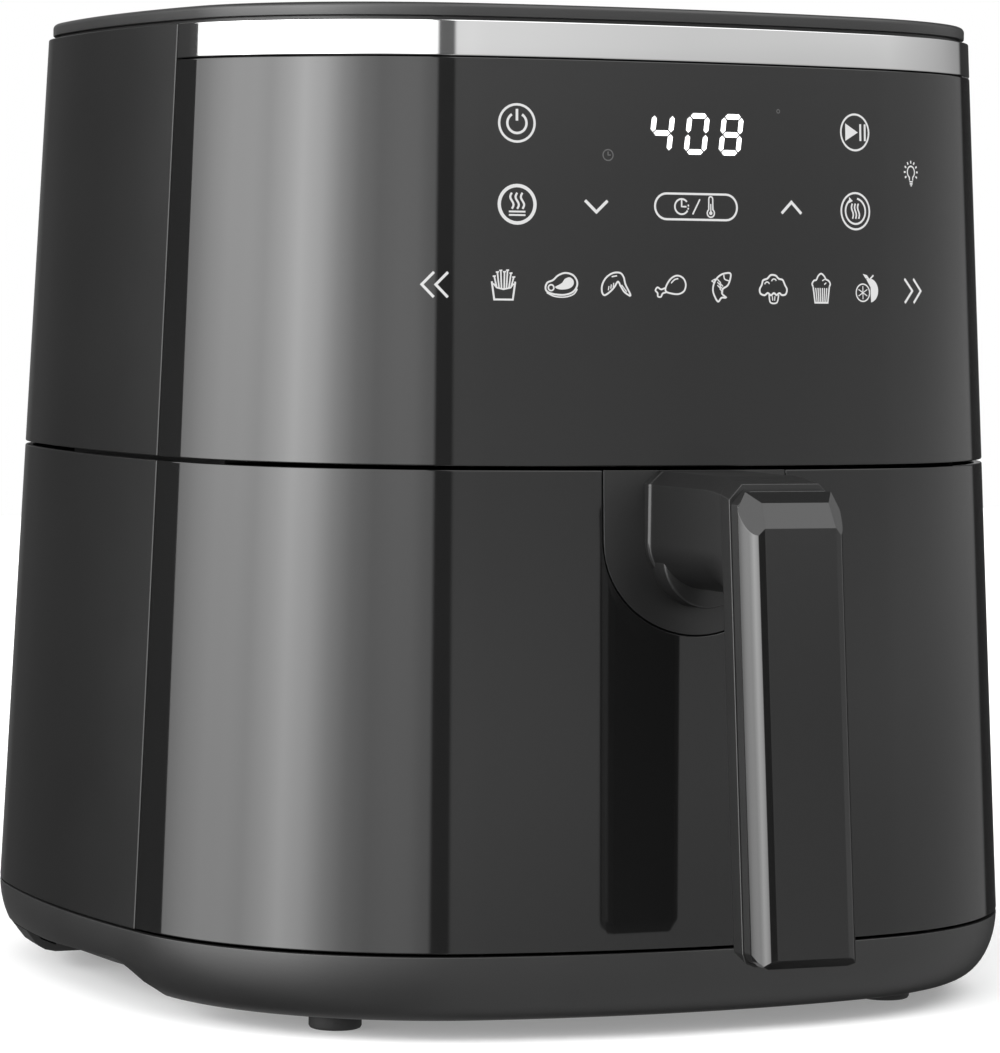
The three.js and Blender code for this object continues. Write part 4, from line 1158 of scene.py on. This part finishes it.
def make_studio():
    """A white studio whose soft lights are seen by direction: one long light down the left, a
    paler fill from the right, and one overhead in front."""
    world = bpy.data.worlds.new("studio")
    bpy.context.scene.world = world
    world.use_nodes = True
    tree = world.node_tree
    place = tree.nodes.new("ShaderNodeTexCoord")
    axes = tree.nodes.new("ShaderNodeSeparateXYZ")
    tree.links.new(place.outputs["Generated"], axes.inputs[0])
    x, y, z = axes.outputs
    across = maths(tree, "MULTIPLY", maths(tree, "ARCTAN2", x, maths(tree, "MULTIPLY", y, -1.0)),
                   math.degrees(1))
    height = maths(tree, "MULTIPLY", maths(tree, "ARCSINE", z), math.degrees(1))

    leaned = maths(tree, "ADD", across, maths(tree, "MULTIPLY", height, LEFT_EDGE_LEAN))
    inside = maths(tree, "GREATER_THAN", leaned, LEFT_EDGE)
    left = maths(
        tree, "MULTIPLY",
        maths(tree, "MULTIPLY", ramp(tree, across, LEFT_LIGHT, -180, 180, SKY),
              ramp(tree, height, LEFT_BY_HEIGHT, -90, 90, 1.0)),
        inside,
    )
    right = maths(tree, "MULTIPLY", ramp(tree, across, RIGHT_LIGHT, -180, 180, SKY),
                  ramp(tree, height, RIGHT_BY_HEIGHT, -90, 90, 1.0))
    top = maths(tree, "MULTIPLY", ramp(tree, across, TOP_LIGHT, -180, 180, SKY),
                ramp(tree, height, TOP_BY_HEIGHT, -90, 90, SKY))
    total = maths(tree, "ADD", maths(tree, "ADD", left, right), top)

    seen = tree.nodes.new("ShaderNodeLightPath").outputs["Is Camera Ray"]
    strength = maths(tree, "ADD", maths(tree, "MULTIPLY", total,
                                        maths(tree, "SUBTRACT", 1.0, seen)), seen)
    background = tree.nodes["Background"]
    background.inputs["Color"].default_value = (1, 1, 1, 1)
    tree.links.new(strength, background.inputs["Strength"])
    bpy.context.scene.view_settings.view_transform = "Standard"


def make_floor():
    """The white floor, which glossy surfaces don't mirror."""
    mesh = bpy.data.meshes.new("floor")
    corners = [(x * FLOOR_REACH, y * FLOOR_REACH, 0) for x, y in ((-1, -1), (1, -1), (1, 1), (-1, 1))]
    mesh.from_pydata([at(*corner) for corner in corners], [], [(0, 1, 2, 3)])
    floor = bpy.data.objects.new("floor", mesh)
    bpy.context.scene.collection.objects.link(floor)
    look = surface("floor_white", grey(0.8), 0.9, grain=3, grain_depth=0.0, drift=0.01)
    shader = look.node_tree.nodes["Principled BSDF"]
    shader.inputs["Specular IOR Level"].default_value = 0
    shader.inputs["Emission Color"].default_value = (1, 1, 1, 1)
    shader.inputs["Emission Strength"].default_value = 0.25
    mesh.materials.append(look)
    floor.visible_glossy = False


def make_camera():
    """A long lens, a little above the table, from the front left."""
    data = bpy.data.cameras.new("camera")
    data.sensor_fit = "VERTICAL"
    data.sensor_height = 36
    data.lens = LENS
    camera = bpy.data.objects.new("camera", data)
    bpy.context.scene.collection.objects.link(camera)
    bpy.context.scene.camera = camera
    back = Vector((math.sin(AZIMUTH), -math.cos(AZIMUTH), 0))
    ahead = Matrix.Rotation(-PAN, 3, "Z") @ -back
    ahead = ahead * math.cos(PITCH) - Vector((0, 0, math.sin(PITCH)))
    right = ahead.cross(Vector((0, 0, 1))).normalized()
    up = right.cross(ahead)
    axis_x = right * math.cos(ROLL) + up * math.sin(ROLL)
    axis_y = up * math.cos(ROLL) - right * math.sin(ROLL)
    turn = Matrix((axis_x, axis_y, -ahead)).transposed().to_4x4()
    camera.matrix_world = Matrix.Translation(CAMERA_AT) @ turn


make_walls()
make_lid()
make_skirt()
make_feet()
make_drawer_front()
make_mount()
make_cover()
make_grip()
make_stem()
make_collar()
make_pan()
make_symbols()
dress_nodes()
make_studio()
make_floor()
make_camera()
